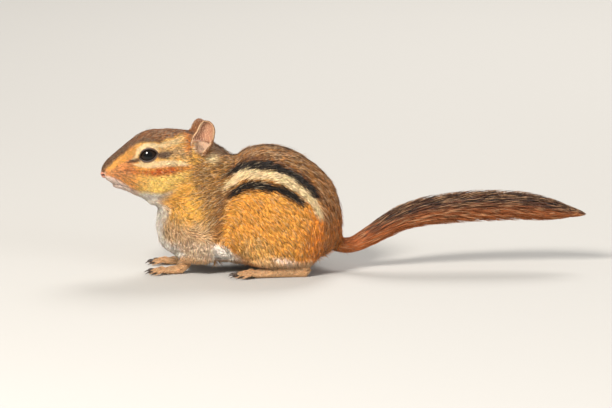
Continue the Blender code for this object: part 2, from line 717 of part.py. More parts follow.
def eye_cutters(side, helpers):
    """The room for an eyeball, and the almond opening between its lids, which two round shapes share."""
    centre = Vector(mirrored(EYE_AT, side))
    looks = Vector(mirrored(EYE_LOOKS, side)).normalized()
    room = ball("eye_room", centre, (EYE_RADIUS + GAP,) * 3, None, 16)
    straight = Vector((0.0, side, 0.0))
    turn = straight.rotation_difference(looks).to_matrix().to_4x4() @ turned_y(-EYE_SLANT_DEG)
    half_length, half_height = EYE_OPENING
    arc = (half_length**2 + half_height**2) / (2 * half_height)
    lids = []
    for way in (-1, 1):
        middle = centre + looks * EYE_RADIUS * 1.1 + turn @ Vector((0.0, 0.0, way * (arc - half_height)))
        mesh = placed(ball("eye_opening", middle, (arc, EYE_RADIUS * 1.6, arc), turn, 18), head_place())
        lids.append(object_of("eye_opening", mesh, helpers))
    opening = combine(lids[0], "INTERSECT", lids[1])
    return object_of("eye_room", placed(room, head_place()), helpers), opening


def jaw_cutter(helpers, grow=0.0):
    """The oval ball that parts the lower jaw from the head."""
    at = head_place() @ (Vector(JAW_CUT[0]) * MM) / MM
    return ball_cutter(at, JAW_CUT[1], helpers, grow, head_place().to_3x3().to_4x4(), 18)


def leg_cutter(cut, side, helpers, grow=0.0):
    """The oval ball that parts a leg from the trunk."""
    return ball_cutter(mirrored(cut[0], side), cut[1], helpers, grow, None, 14)


def foot_room(room, side, helpers, grow=0.0):
    """The box under a leg that its foot stands in."""
    (x0, x1), (y0, y1), top = room
    y_range = (y0, y1) if side > 0 else (-y1, -y0)
    return box_between((x0, x1), y_range, (-5.0, top + grow), helpers)


def build():
    clear_scene()
    animal = collection("chipmunk")
    helpers = collection("cutters")
    flesh = whole_flesh(helpers)
    fine = thinned(flesh, "fine_flesh", HEAD_TRIANGLES, helpers)
    coarse = thinned(flesh, "coarse_flesh", BODY_TRIANGLES, helpers)
    nodes = {}

    def piece(name, source, planes, cuts):
        """A length of the flesh between cutting planes, less the pieces that it meets."""
        made = object_of(name, source.data.copy(), animal)
        for plane, ahead in planes:
            point, normal = plane
            normal = Vector(normal).normalized()
            block = half_space(point, normal if ahead else -normal, helpers, GAP / 2)
            combine(made, "INTERSECT", block)
        combine(made, "DIFFERENCE", *cuts)
        nodes[name] = largest_body(made)
        return made

    def legs_out():
        """The grown shapes of all four legs and of the feet under them."""
        cutters = []
        for side in (-1, 1):
            cutters.append(leg_cutter(SHOULDER_CUT, side, helpers, GAP))
            cutters.append(leg_cutter(HAUNCH_CUT, side, helpers, GAP))
            cutters.append(foot_room(FOREFOOT_ROOM, side, helpers, GAP))
            cutters.append(foot_room(HINDFOOT_ROOM, side, helpers, GAP))
        return cutters

    eye_cuts = [cutter for side in (-1, 1) for cutter in eye_cutters(side, helpers)]
    nose_at = head_place() @ (Vector(NOSE_AT) * MM) / MM
    nose_turn = head_place().to_3x3().to_4x4()
    nose_room = ball_cutter(nose_at, NOSE_RADII, helpers, GAP, nose_turn, 14)
    piece("head", fine, [(HEAD_PLANE, True)], [*eye_cuts, nose_room, jaw_cutter(helpers, GAP)])
    jaw = piece("lower_jaw", fine, [(HEAD_PLANE, True)], [])
    nose_room = ball_cutter(nose_at, NOSE_RADII, helpers, GAP, nose_turn, 14)
    combine(jaw, "INTERSECT", jaw_cutter(helpers))
    largest_body(combine(jaw, "DIFFERENCE", nose_room))
    nose = object_of("nose", ball("nose", nose_at, NOSE_RADII, nose_turn, 14), animal)
    for side in (-1, 1):
        at = head_place() @ (Vector(mirrored(NOSTRIL_AT, side)) * MM) / MM
        combine(nose, "DIFFERENCE", ball_cutter(at, NOSTRIL_RADII, helpers, 0.0, nose_turn, 8))
    nodes["nose"] = nose

    piece("neck", coarse, [(HEAD_PLANE, False), (NECK_PLANE, True)], legs_out())
    flesh_clear = [grown(nodes[name], GAP, helpers) for name in ("head", "neck")]
    for side, word in ((-1, "left"), (1, "right")):
        nodes["ear_" + word] = ear("ear_" + word, side, flesh_clear, animal)
        centre = head_place() @ (Vector(mirrored(EYE_AT, side)) * MM) / MM
        eyeball = ball("eye", centre, (EYE_RADIUS,) * 3, None, 16)
        nodes["eye_" + word] = object_of("eye_" + word, eyeball, animal)
    remove(*flesh_clear)

    piece("chest", coarse, [(NECK_PLANE, False), (CHEST_PLANE, True), (HEAD_PLANE, False)], legs_out())
    piece("torso", coarse, [(CHEST_PLANE, False), (RUMP_PLANE, True)], legs_out())
    piece("rump", coarse, [(RUMP_PLANE, False), (TAIL_PLANE, True)], legs_out())

    for side, word in ((-1, "left"), (1, "right")):
        haunch = piece("thigh_" + word, coarse, [], [foot_room(HINDFOOT_ROOM, side, helpers, GAP)])
        largest_body(combine(haunch, "INTERSECT", leg_cutter(HAUNCH_CUT, side, helpers)))
        arm = piece("foreleg_" + word, coarse, [], [foot_room(FOREFOOT_ROOM, side, helpers, GAP)])
        largest_body(combine(arm, "INTERSECT", leg_cutter(SHOULDER_CUT, side, helpers)))
        for start, spec, room in (("fore", FOREFOOT, FOREFOOT_ROOM), ("hind", HINDFOOT, HINDFOOT_ROOM)):
            name = start + "foot_" + word
            nodes[name] = foot(name, spec, room[2], side, animal, helpers)

    tail = fuse("tail", [tail_core(), *tail_locks(tail_frame())], animal, "MANIFOLD")
    block = half_space(TAIL_PLANE[0], -Vector(TAIL_PLANE[1]), helpers, GAP / 2)
    nodes["tail"] = combine(tail, "INTERSECT", block)

    remove(flesh, fine, coarse)
    finish(nodes)


def finish(nodes):
    """Gives each node its material and its smooth shading."""
    coat = material("coat", (0.46, 0.26, 0.11), 0.85)
    pale = material("pale_coat", (0.78, 0.68, 0.52), 0.85)
    tail_coat = material("tail_coat", (0.24, 0.15, 0.09), 0.85)
    eye = material("eye", (0.01, 0.008, 0.007), 0.08)
    skin = material("bare_skin", (0.62, 0.38, 0.32), 0.55)
    feet = material("foot_coat", (0.60, 0.40, 0.24), 0.8)
    kinds = {"eye": eye, "nose": skin, "ear": skin, "tail": tail_coat, "lower": pale}
    kinds |= {"forefoot": feet, "hindfoot": feet}
    for name, obj in nodes.items():
        obj.data.materials.clear()
        obj.data.materials.append(kinds.get(name.split("_")[0], coat))
        obj.data.shade_smooth()
        obj.data.set_sharp_from_angle(angle=math.radians(SHARP_EDGE_DEG))


build()
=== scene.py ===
# %% [markdown]
# # A chipmunk, life size, dressed over its solids
# A taxidermist carves a body at its true size and pulls a real skin over it. This file does the
# same with arrays of numbers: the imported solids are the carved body, one fine skin is grown over
# them, and the coat is laid on that skin tuft by tuft. Everything below is in millimetres until
# it goes into a mesh, because a coat is easier to think about in millimetres than in metres.

# %% Load the solids and keep their box
import math

import bmesh
import bpy
import numpy as np
from mathutils import Matrix, Vector


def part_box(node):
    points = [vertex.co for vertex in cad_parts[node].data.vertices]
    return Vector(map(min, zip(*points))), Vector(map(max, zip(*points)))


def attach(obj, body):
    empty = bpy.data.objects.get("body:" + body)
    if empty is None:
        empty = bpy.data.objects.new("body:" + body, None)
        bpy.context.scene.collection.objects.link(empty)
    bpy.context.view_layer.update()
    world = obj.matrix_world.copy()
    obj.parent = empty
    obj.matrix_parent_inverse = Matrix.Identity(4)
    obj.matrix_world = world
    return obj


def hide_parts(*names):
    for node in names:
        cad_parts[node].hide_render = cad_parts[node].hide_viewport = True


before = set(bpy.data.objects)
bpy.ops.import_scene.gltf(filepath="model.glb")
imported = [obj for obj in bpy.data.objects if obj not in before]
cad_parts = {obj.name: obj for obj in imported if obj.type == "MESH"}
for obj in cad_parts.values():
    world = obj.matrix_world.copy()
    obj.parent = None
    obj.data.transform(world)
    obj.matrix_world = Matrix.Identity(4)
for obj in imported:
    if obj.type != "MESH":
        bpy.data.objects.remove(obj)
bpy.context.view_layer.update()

MM = 0.001

# %% [markdown]
# ## Where the camera stands
# The photo was taken from low down and far away, square to the animal's left side. A long lens
# does the same here: from three metres the rays are almost parallel, so sizes stay true.

# %% Camera
PICTURE_WIDTH = 257.0
CAMERA_DISTANCE = 3000.0
CAMERA_HEIGHT_DEG = 10.0
CAMERA_AIM = np.array([-14.3, 0.0, 27.7])
SENSOR_WIDTH = 36.0


def aimed(location, aim):
    """The turn that points an object's -Z from its place, in millimetres, to what it aims at."""
    return Vector(np.asarray(aim, float) - location).to_track_quat("-Z", "Y").to_euler()


height = math.radians(CAMERA_HEIGHT_DEG)
camera_at = CAMERA_AIM + CAMERA_DISTANCE * np.array([0.0, -math.cos(height), math.sin(height)])
camera_data = bpy.data.cameras.new("camera")
camera_data.sensor_width = SENSOR_WIDTH
camera_data.lens = SENSOR_WIDTH * CAMERA_DISTANCE / PICTURE_WIDTH
camera_data.clip_start = 0.1
camera_data.clip_end = 50.0
camera = bpy.data.objects.new("camera", camera_data)
camera.location = camera_at * MM
camera.rotation_euler = aimed(camera_at, CAMERA_AIM)
bpy.context.scene.collection.objects.link(camera)
bpy.context.scene.camera = camera
print("lens, mm:", round(camera_data.lens, 1))

# %% [markdown]
# ## Studio light
# Fur shows its grain when the main light comes from one side, and goes flat when light comes from
# everywhere. So one large lamp stands up and to the left, where the light comes from in the photo,
# a wide weak one fills the right, and one behind draws a pale edge along the back. The wide one is
# kept out of reflections, because the photo's eye mirrors one small light only.

# %% Lamps and sky
# Each lamp: its place, its width, its power in watts and its tint.
LAMPS = {
    "key": ((-620.0, -900.0, 900.0), 420.0, 28.0, (1.0, 0.95, 0.88)),
    "fill": ((900.0, -900.0, 350.0), 900.0, 8.5, (0.98, 0.98, 1.0)),
    "rim": ((250.0, 900.0, 900.0), 600.0, 11.0, (1.0, 0.97, 0.93)),
}
SKY = (0.92, 0.90, 0.87, 1.0)
SKY_STRENGTH = 0.45

for name, (place, size, power, tint) in LAMPS.items():
    lamp_data = bpy.data.lights.new(name, "AREA")
    lamp_data.shape = "DISK"
    lamp_data.size = size * MM
    lamp_data.energy = power
    lamp_data.color = tint
    lamp = bpy.data.objects.new(name, lamp_data)
    lamp.location = np.array(place) * MM
    lamp.rotation_euler = aimed(place, CAMERA_AIM)
    lamp.visible_glossy = name != "fill"
    bpy.context.scene.collection.objects.link(lamp)

sky = bpy.data.worlds.new("studio")
sky.use_nodes = True
sky.node_tree.nodes["Background"].inputs["Color"].default_value = SKY
sky.node_tree.nodes["Background"].inputs["Strength"].default_value = SKY_STRENGTH
bpy.context.scene.world = sky
bpy.context.scene.view_settings.view_transform = "Standard"
print("lamps:", len(LAMPS))

# %% [markdown]
# ## Arrays into meshes
# Blender reads a mesh fastest when points and faces arrive as whole arrays. All faces here are
# triangles, so one array of corner numbers says everything. A closed surface is turned right side
# out by its signed volume: the sum of the small pyramids from the origin to every triangle.


# %% Mesh helpers
def turned_out(points, faces):
    """The triangles, flipped if the volume that they enclose comes out negative."""
    a, b, c = (points[faces[:, corner]] for corner in range(3))
    volume = np.einsum("ij,ij->i", a, np.cross(b, c)).sum()
    return faces if volume > 0 else faces[:, ::-1]


def mesh_from(name, points, faces):
    """A smooth-shaded mesh from points in millimetres and triangles."""
    faces = np.ascontiguousarray(faces, dtype=np.int32)
    mesh = bpy.data.meshes.new(name)
    mesh.vertices.add(len(points))
    mesh.vertices.foreach_set("co", (np.asarray(points) * MM).astype(np.float32).ravel())
    mesh.loops.add(faces.size)
    mesh.loops.foreach_set("vertex_index", faces.ravel())
    mesh.polygons.add(len(faces))
    mesh.polygons.foreach_set("loop_start", np.arange(0, faces.size, 3, dtype=np.int32))
    mesh.update(calc_edges=True)
    mesh.shade_smooth()
    return mesh


def give_colour(mesh, colour):
    """Writes a colour for every point, which the materials read as the attribute Coat."""
    rgba = np.column_stack([colour, np.ones(len(colour))]).astype(np.float32)
    mesh.attributes.new("Coat", "FLOAT_COLOR", "POINT").data.foreach_set("color", rgba.ravel())


def give_map(mesh, faces, spots):
    """Writes the map OFBake from one place on it for every point."""
    layer = mesh.uv_layers.new(name="OFBake")
    layer.data.foreach_set("uv", spots[np.asarray(faces).ravel()].astype(np.float32).ravel())


def piece(name, mesh, material, slot, *nodes):
    """An object that rides with the animal and stands for some solids. Its slot is not used."""
    made = bpy.data.objects.new(name, mesh)
    bpy.context.scene.collection.objects.link(made)
    made.data.materials.append(material)
    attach(made, "root")
    if nodes:
        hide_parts(*nodes)
    print(name, "triangles:", len(mesh.polygons))
    return made


# %% [markdown]
# ## Soft steps
# On an animal nothing starts at a line: fur grows longer, darker or redder over a few millimetres.
# So nearly every rule below is a soft step, an S curve from 0 to 1 between two places. Products of
# soft steps mark out regions. Their numbers are places in millimetres.


# %% Steps, mixes and directions
def soft_step(low, high, value):
    """0 below low, 1 above high, and an S curve between."""
    share = np.clip((value - low) / (high - low), 0.0, 1.0)
    return share * share * (3.0 - 2.0 * share)


def toward(value, goal, share):
    """The value moved this share of the way to a goal."""
    return value + (goal - value) * share


def unit(vectors):
    """Vectors scaled to length one."""
    return vectors / np.maximum(np.linalg.norm(vectors, axis=-1, keepdims=True), 1e-9)


print("a soft step, halfway:", soft_step(0.0, 1.0, 0.5))

# %% [markdown]
# ## Curves and tubes
# Toes, tail, claws and whiskers are all long and round. A cubic curve reads smooth rows from a few
# chosen ones, and a tube carries an oval along that path. Its ends close with a fan of triangles
# to one more point, so that the surface has no hole.


# %% Curves and tubes
def smooth_rows(rows, count):
    """Rows read evenly off a cubic curve that passes through the given rows."""
    rows = np.array(rows, float)
    at = np.concatenate([[0.0], np.cumsum(np.linalg.norm(np.diff(rows, axis=0), axis=1))])
    slope = np.gradient(rows, at, axis=0)
    where = np.linspace(0.0, at[-1], count)
    i = np.clip(np.searchsorted(at, where, side="right") - 1, 0, len(at) - 2)
    span = (at[i + 1] - at[i])[:, None]
    u = (where - at[i])[:, None] / span
    return (
        (2 * u**3 - 3 * u**2 + 1) * rows[i]
        + (u**3 - 2 * u**2 + u) * span * slope[i]
        + (3 * u**2 - 2 * u**3) * rows[i + 1]
        + (u**3 - u**2) * span * slope[i + 1]
    )


def tube_faces(rows, around):
    """Triangles over rings of points, closed round, with a fan to one more point at each end."""
    ring, spot = np.meshgrid(np.arange(rows - 1), np.arange(around), indexing="ij")
    a, b = ring * around + spot, ring * around + (spot + 1) % around
    c, d = a + around, b + around
    wall = np.stack([a, b, d, a, d, c], axis=-1).reshape(-1, 3)
    spot = np.arange(around)
    first, last = rows * around, rows * around + 1
    begin = np.column_stack([np.full(around, first), (spot + 1) % around, spot])
    after = (rows - 1) * around
    end = np.column_stack([np.full(around, last), after + spot, after + (spot + 1) % around])
    return np.vstack([wall, begin, end])


def frames_along(path):
    """For each point of a path: its direction, a level side direction and the up direction."""
    along = unit(np.gradient(path, axis=0))
    side = unit(np.cross(along, [0.0, 0.0, 1.0]))
    return along, side, np.cross(side, along)


def tube(points, widths, heights, count, around, blunt=0.8):
    """Ovals of these half widths and half heights, carried along a smooth path, ends rounded."""
    rows = smooth_rows(np.column_stack([points, widths, heights]), count)
    path, wide, high = rows[:, :3], rows[:, 3, None], rows[:, 4, None]
    along, side, up = frames_along(path)
    angle = np.arange(around) * 2 * math.pi / around
    rings = (
        path[:, None]
        + side[:, None] * (wide * np.cos(angle))[..., None]
        + up[:, None] * (high * np.sin(angle))[..., None]
    )
    ends = np.array([path[0] - along[0] * high[0] * blunt, path[-1] + along[-1] * high[-1] * blunt])
    made = np.vstack([rings.reshape(-1, 3), ends])
    faces = tube_faces(count, around)
    return made, turned_out(made, faces)


print("triangles of a tube of 4 rings by 6:", len(tube_faces(4, 6)))

# %% [markdown]
# ## Balls and random clouds
# An oval ball is a sphere in latitude and longitude, stretched by three radii. A cloud gives smooth
# random values in space, so that neighbouring hairs vary together, as they do in clumps. It needs
# no picture: every corner of a grid mixes its own numbers into a value that looks random.


# %% Balls and clouds
def ball(centre, radii, rows=24, around=36):
    """An oval ball: latitude and longitude give the direction, the three radii scale it."""
    latitude = (np.arange(rows) + 0.5) / rows * math.pi
    longitude = np.arange(around) * 2 * math.pi / around
    ring = np.stack(
        [
            np.sin(latitude)[:, None] * np.cos(longitude),
            np.sin(latitude)[:, None] * np.sin(longitude),
            np.repeat(np.cos(latitude)[:, None], around, axis=1),
        ],
        axis=-1,
    )
    poles = np.array([[0.0, 0.0, 1.0], [0.0, 0.0, -1.0]])
    made = np.vstack([ring.reshape(-1, 3), poles]) * radii + centre
    return made, turned_out(made - centre, tube_faces(rows, around))


def cloud(points, size, seed):
    """Smooth random values from -1 to 1: grid corners draw numbers, S curves blend between."""
    cell = points / size
    corner = np.floor(cell).astype(np.int64)
    part = cell - corner
    part = part * part * (3.0 - 2.0 * part)
    total = np.zeros(len(points))
    for step in np.ndindex(2, 2, 2):
        mix = ((corner + step) * (73856093, 19349663, 83492791)).sum(axis=1) + seed * 2654435761
        mix = (mix ^ (mix >> 13)) * 1274126177 & 0xFFFFFFFF
        value = ((mix ^ (mix >> 16)) & 0xFFFF) / 32767.5 - 1.0
        total += value * np.prod(np.where(step, part, 1.0 - part), axis=1)
    return total


trial_places = np.random.default_rng(1).random((999, 3)) * 50
print("a cloud's spread:", round(float(cloud(trial_places, 2, 1).std()), 2))

# %% [markdown]
# ## The head's own axes
# The head is turned a little towards the camera and leans. Marks and features are easier to place
# in axes that turn with it: the origin is the joint with the neck and the nose points along -X.
# Both sides are alike, so a feature is given for the left side and mirrored.

# %% Head axes and landmarks
HEAD_JOINT = np.array([-54.6, 0.0, 49.9])
HEAD_TURN_DEG = 6.0
HEAD_LEAN_DEG = -7.0
HEAD_TURN = np.array(
    Matrix.Rotation(math.radians(HEAD_TURN_DEG), 3, "Z")
    @ Matrix.Rotation(math.radians(HEAD_LEAN_DEG), 3, "X")
)
EYE_AT = np.array([-26.2, -7.8, -0.8])
EYE_RADIUS = 4.4
EYE_LOOKS = np.array([-0.20, -0.97, 0.10])
EYE_SLANT_DEG = 13.0
EYE_HALF_LENGTH = 3.95
EYE_HALF_HEIGHT = 2.55
NOSE_AT = np.array([-44.5, 0.0, -8.1])
NOSE_RADII = np.array([2.0, 2.3, 2.0])
PAD_AT = np.array([-44.4, 0.0, -8.5])
PAD_RADII = np.array([1.75, 2.15, 1.7])
SIDES = {"left": -1, "right": 1}


def to_head(points):
    """Places or directions taken from the world's axes to the head's."""
    return (points - HEAD_JOINT) @ HEAD_TURN


def from_head(points):
    """Places taken from the head's axes to the world's."""
    return np.asarray(points) @ HEAD_TURN.T + HEAD_JOINT


def mirrored(points, side):
    """The same places on the left side, side -1, or on the right side, side +1."""
    return np.asarray(points, float) * (1.0, -side, 1.0)


def eye_axes():
    """Three directions of the left eye: along its opening, across it, and the way it looks."""
    looks = unit(EYE_LOOKS)
    across = unit(np.array([0.0, 0.0, 1.0]) - looks * looks[2])
    along = np.cross(looks, across)
    along = along * np.sign(along[0])
    slant = math.radians(EYE_SLANT_DEG)
    return np.array(
        [
            along * math.cos(slant) + across * math.sin(slant),
            across * math.cos(slant) - along * math.sin(slant),
            looks,
        ]
    )


for word, side in SIDES.items():
    low, high = (np.array(corner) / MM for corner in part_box("eye_" + word))
    error = np.linalg.norm((low + high) / 2 - from_head(mirrored(EYE_AT, side)))
    print("eye", word, "lies", round(float(error), 2), "mm from its solid")

# %% [markdown]
# ## One skin over all the flesh
# The solids are parted where a person would name the pieces, with thin gaps between. A real skin
# has no such seams. The solids could be joined by a boolean, but their gaps would stay as cracks.
# So copies of them are pushed out until the gaps close, the feet are added with finer toes, and a
# voxel remesh grows everything into one surface.

# %% Copies of the solids, grown until they touch
FLESH_NODES = ["head", "lower_jaw", "neck", "chest", "torso", "rump"]
FLESH_NODES += [limb + "_" + word for limb in ("foreleg", "thigh") for word in SIDES]
CLOSE_GAP = 0.25
WELD = 0.001


def grown_copy(node):
    """A solid's points, merged where doubled and pushed out along their normals, and its faces."""
    work = bmesh.new()
    work.from_mesh(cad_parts[node].data)
    bmesh.ops.remove_doubles(work, verts=work.verts, dist=WELD * MM)
    mesh = bpy.data.meshes.new("copy")
    work.to_mesh(mesh)
    work.free()
    points, normals = np.zeros(len(mesh.vertices) * 3), np.zeros(len(mesh.vertices) * 3)
    faces = np.zeros(len(mesh.polygons) * 3, np.int32)
    mesh.vertices.foreach_get("co", points)
    mesh.vertex_normals.foreach_get("vector", normals)
    mesh.polygons.foreach_get("vertices", faces)
    bpy.data.meshes.remove(mesh)
    return points.reshape(-1, 3) / MM + normals.reshape(-1, 3) * CLOSE_GAP, faces.reshape(-1, 3)


shells = [grown_copy(node) for node in FLESH_NODES]
print("copies:", len(shells), "triangles:", sum(len(faces) for _, faces in shells))

# %% [markdown]
# ## Feet with real toes
# A chipmunk has four toes in front and five behind. Each toe is a small tube that rises over its
# knuckle and comes down to the floor. The sole is a flat tube and the ankle runs up into the leg,
# so the remesh joins them without a seam. Claws stay pieces of their own, made later.

# %% Sizes of the feet
FOREFOOT = {
    "root": (-66.0, -10.4),
    "sunk": 0.5,
    "heading_deg": 8.0,
    "sole_length": 7.6,
    "sole_widths": (4.6, 6.2, 5.8),
    "sole_heights": (4.6, 4.2, 3.2),
    "ankle": ((0.6, 0.0, 2.4), (-1.6, 0.0, 5.0), (-4.0, 0.0, 8.0)),
    "ankle_radius": 2.7,
    "toe_length": 6.2,
    "toe_radius": 1.05,
    "toe_fan_deg": (-27.0, -9.0, 9.0, 27.0),
    "toe_share": (0.86, 1.0, 1.0, 0.84),
    "claw": 2.4,
}
HINDFOOT = {
    "root": (-14.0, -17.8),
    "sunk": 0.6,
    "heading_deg": 5.0,
    "sole_length": 22.0,
    "sole_widths": (4.8, 6.2, 7.6),
    "sole_heights": (6.4, 5.6, 3.8),
    "ankle": ((1.0, 0.0, 3.2), (1.6, 0.0, 6.0), (3.0, 0.0, 8.5)),
    "ankle_radius": 3.0,
    "toe_length": 8.2,
    "toe_radius": 1.15,
    "toe_fan_deg": (-24.0, -12.0, 0.0, 12.0, 25.0),
    "toe_share": (0.72, 0.95, 1.0, 0.96, 0.76),
    "claw": 2.8,
}
TOE_INSIDE = 1.2
TOE_SPREAD = 0.86
KNUCKLE_HEIGHT = 1.1
TOE_TIP_HEIGHT = 0.72
# Along a toe: the share of its length, its swelling, and its rise in shares of its radius.
TOE_SWELLS = (
    (0.0, 1.0, 0.0),
    (0.3, 1.12, 0.8),
    (0.52, 0.92, 0.55),
    (0.72, 1.0, 0.42),
    (0.9, 0.8, 0.1),
    (1.0, 0.62, 0.0),
)
print("toes in front:", len(FOREFOOT["toe_share"]), "and behind:", len(HINDFOOT["toe_share"]))

# %% [markdown]
# ## Toes, soles and ankles
# A foot is made in its own axes, with its toes along +X, and then turned and carried to its place.
# A toe bone is thick at its joints and thin between them. Both the radius and the height of a
# toe's tube therefore swell and fall along it, which reads as knuckles even when it is very small.


# %% Shells of the feet
def toe_line(foot, number):
    """A toe's knuckle, its tip and the level direction between them, in the foot's own axes."""
    fan = math.radians(foot["toe_fan_deg"][number])
    reach = np.array([math.cos(fan), math.sin(fan), 0.0])
    radius = foot["toe_radius"]
    knuckle_out = foot["sole_widths"][2] * TOE_SPREAD * math.sin(fan)
    knuckle = np.array([foot["sole_length"] - TOE_INSIDE, knuckle_out, radius * KNUCKLE_HEIGHT])
    tip = knuckle + reach * (foot["toe_length"] * foot["toe_share"][number] + TOE_INSIDE)
    tip[2] = radius * TOE_TIP_HEIGHT
    return knuckle, tip, reach


def foot_place(foot, side):
    """The turn and the place that carry a foot from its own axes, toes along +X, to the floor."""
    turn = Matrix.Rotation(math.radians(180.0 - side * foot["heading_deg"]), 3, "Z")
    x, y = foot["root"]
    return np.array(turn), np.array([x, -side * y, 0.0])


def foot_shells(foot, side):
    """A sole, an ankle and toes whose joints swell and rise, as closed shells in the world's axes."""
    wide = np.array(foot["sole_widths"]) / 2
    high = np.array(foot["sole_heights"]) / 2
    share = np.array([0.0, 0.5, 1.0])
    sole = np.column_stack([foot["sole_length"] * share, share * 0.0, high - foot["sunk"]])
    ankle_radii = np.full(3, foot["ankle_radius"])
    made = [tube(sole, wide, high, 16, 24), tube(foot["ankle"], ankle_radii, ankle_radii, 10, 20)]
    swells = np.array(TOE_SWELLS)
    for number in range(len(foot["toe_share"])):
        knuckle, tip, _ = toe_line(foot, number)
        line = knuckle + (tip - knuckle) * swells[:, :1]
        line[:, 2] += swells[:, 2] * foot["toe_radius"]
        radii = foot["toe_radius"] * swells[:, 1]
        made.append(tube(line, radii, radii, 18, 14))
    turn, place = foot_place(foot, side)
    return [(points @ turn.T + place, faces) for points, faces in made]


feet = [(foot, side) for foot in (FOREFOOT, HINDFOOT) for side in SIDES.values()]
for foot, side in feet:
    shells += foot_shells(foot, side)
print("shells with feet:", len(shells))

# %% [markdown]
# ## The tail's own line
# Under its brush the tail is a slim, bony whip. The line of its middle and the brush's half width
# and half height are the same as the solids'. The whip is a share of the brush: all of it at the
# root, and a quarter where the brush is full. It is part of the skin, and runs well into the rump.

# %% Tail line and whip
TAIL_POINTS = (
    (-7.0, 0.0, 14.0),
    (-1.0, 0.0, 10.6),
    (4.0, 0.2, 10.2),
    (10.5, 0.8, 12.8),
    (18.5, 1.8, 17.4),
    (26.5, 3.0, 21.4),
    (36.0, 4.4, 23.8),
    (49.0, 6.0, 25.2),
    (63.0, 7.2, 25.8),
    (77.0, 7.6, 25.6),
    (90.0, 7.0, 24.0),
    (100.2, 6.0, 22.8),
)
TAIL_WIDTHS = (3.4, 3.4, 3.4, 4.2, 5.6, 7.2, 8.2, 8.8, 8.8, 7.8, 5.2, 0.9)
TAIL_HEIGHTS = (3.2, 3.0, 2.8, 3.6, 4.4, 5.2, 6.0, 6.5, 6.6, 6.0, 4.2, 0.8)
WHIP_SHARES = (1.0, 1.0, 0.9, 0.7, 0.5, 0.36, 0.3, 0.26, 0.24, 0.24, 0.3, 0.5)
TAIL_SAMPLES = 120
WHIP_ROWS = 60
WHIP_AROUND = 20

tail_rows = smooth_rows(np.column_stack([TAIL_POINTS, TAIL_WIDTHS, TAIL_HEIGHTS]), TAIL_SAMPLES)
tail_middle, tail_wide, tail_high = tail_rows[:, :3], tail_rows[:, 3], tail_rows[:, 4]
tail_along, tail_side, tail_up = frames_along(tail_middle)
tail_steps = np.linalg.norm(np.diff(tail_middle, axis=0), axis=1)
tail_at = np.concatenate([[0.0], np.cumsum(tail_steps)])
whip_line = np.array(TAIL_POINTS)
whip_line[-1] = whip_line[-2] * 0.25 + whip_line[-1] * 0.75
whip_widths, whip_heights = np.multiply((TAIL_WIDTHS, TAIL_HEIGHTS), WHIP_SHARES)
shells.append(tube(whip_line, whip_widths, whip_heights, WHIP_ROWS, WHIP_AROUND))
print("tail length, mm:", round(float(tail_at[-1]), 1))

# %% [markdown]
# ## From many shells to one surface
# A voxel remesh fills space with small cubes and wraps a new surface round those that lie inside
# any shell. It leaves small closed surfaces wherever shells enclose a void. The largest is found
# by letting each point take the lowest number among its neighbours until nothing changes.


# %% Surface helpers
def stacked(parts):
    """Several surfaces as one array of points and one of faces."""
    starts = np.cumsum([0] + [len(points) for points, _ in parts[:-1]])
    faces = [faces + start for (_, faces), start in zip(parts, starts)]
    return np.vstack([points for points, _ in parts]), np.vstack(faces)


def edges_of(faces):
    """Each edge of a triangle mesh once, as pairs of point numbers."""
    pairs = np.sort(faces[:, [0, 1, 1, 2, 2, 0]].reshape(-1, 2), axis=1)
    return np.unique(pairs, axis=0)


def reshaped(points, faces, kind, **settings):
    """The points and triangles that one of Blender's modifiers makes of a surface."""
    mesh = mesh_from("work", points, faces)
    work = bpy.data.objects.new("work", mesh)
    bpy.context.scene.collection.objects.link(work)
    modifier = work.modifiers.new("work", kind)
    for name, value in settings.items():
        setattr(modifier, name, value)
    bpy.context.view_layer.update()
    shape = work.evaluated_get(bpy.context.evaluated_depsgraph_get())
    made = shape.to_mesh()
    places = np.zeros(len(made.vertices) * 3)
    corners = np.zeros(len(made.loop_triangles) * 3, np.int32)
    made.vertices.foreach_get("co", places)
    made.loop_triangles.foreach_get("vertices", corners)
    shape.to_mesh_clear()
    bpy.data.objects.remove(work)
    bpy.data.meshes.remove(mesh)
    return places.reshape(-1, 3) / MM, corners.reshape(-1, 3)


def largest_surface(points, faces):
    """The connected surface with most points, the others dropped."""
    edges = edges_of(faces)
    label = np.arange(len(points))
    while True:
        low = label[edges].min(axis=1)
        lower = label.copy()
        np.minimum.at(lower, edges[:, 0], low)
        np.minimum.at(lower, edges[:, 1], low)
        lower = lower[lower]
        if np.array_equal(lower, label):
            break
        label = lower
    keep = label == np.bincount(label).argmax()
    number = np.cumsum(keep) - 1
    return points[keep], number[faces[keep[faces[:, 0]]]]


print("edges of the first shell:", len(edges_of(shells[0][1])))

# %% [markdown]
# ## Growing the skin
# The solids leave room for the eyes and the nose pad. Balls fill these places first, because the
# lids and the nose's bed are sculpted later. Voxels of 0.4 millimetres are fine enough for toes
# and still quick to work out.

# %% Remesh
SKIN_VOXEL = 0.4
EYE_FILL = EYE_RADIUS + 0.55

for side in SIDES.values():
    shells.append(ball(from_head(mirrored(EYE_AT, side)), EYE_FILL))
shells.append(ball(from_head(NOSE_AT), NOSE_RADII + CLOSE_GAP))
skin_points, skin_faces = stacked(shells)
skin_points, skin_faces = reshaped(
    skin_points, skin_faces, "REMESH", mode="VOXEL", voxel_size=SKIN_VOXEL * MM, adaptivity=0.0
)
skin_points, skin_faces = largest_surface(skin_points, skin_faces)
skin_edges = edges_of(skin_faces)
print("skin points:", len(skin_points), "triangles:", len(skin_faces))

# %% [markdown]
# ## Smoothing
# The remesh keeps the solids' facets and adds its own small steps. Both go when every point moves
# towards its neighbours again and again: many times on the body, few on the face, the feet and
# the whip, which have small forms to keep. Weights between 0 and 1 blend one into the other.

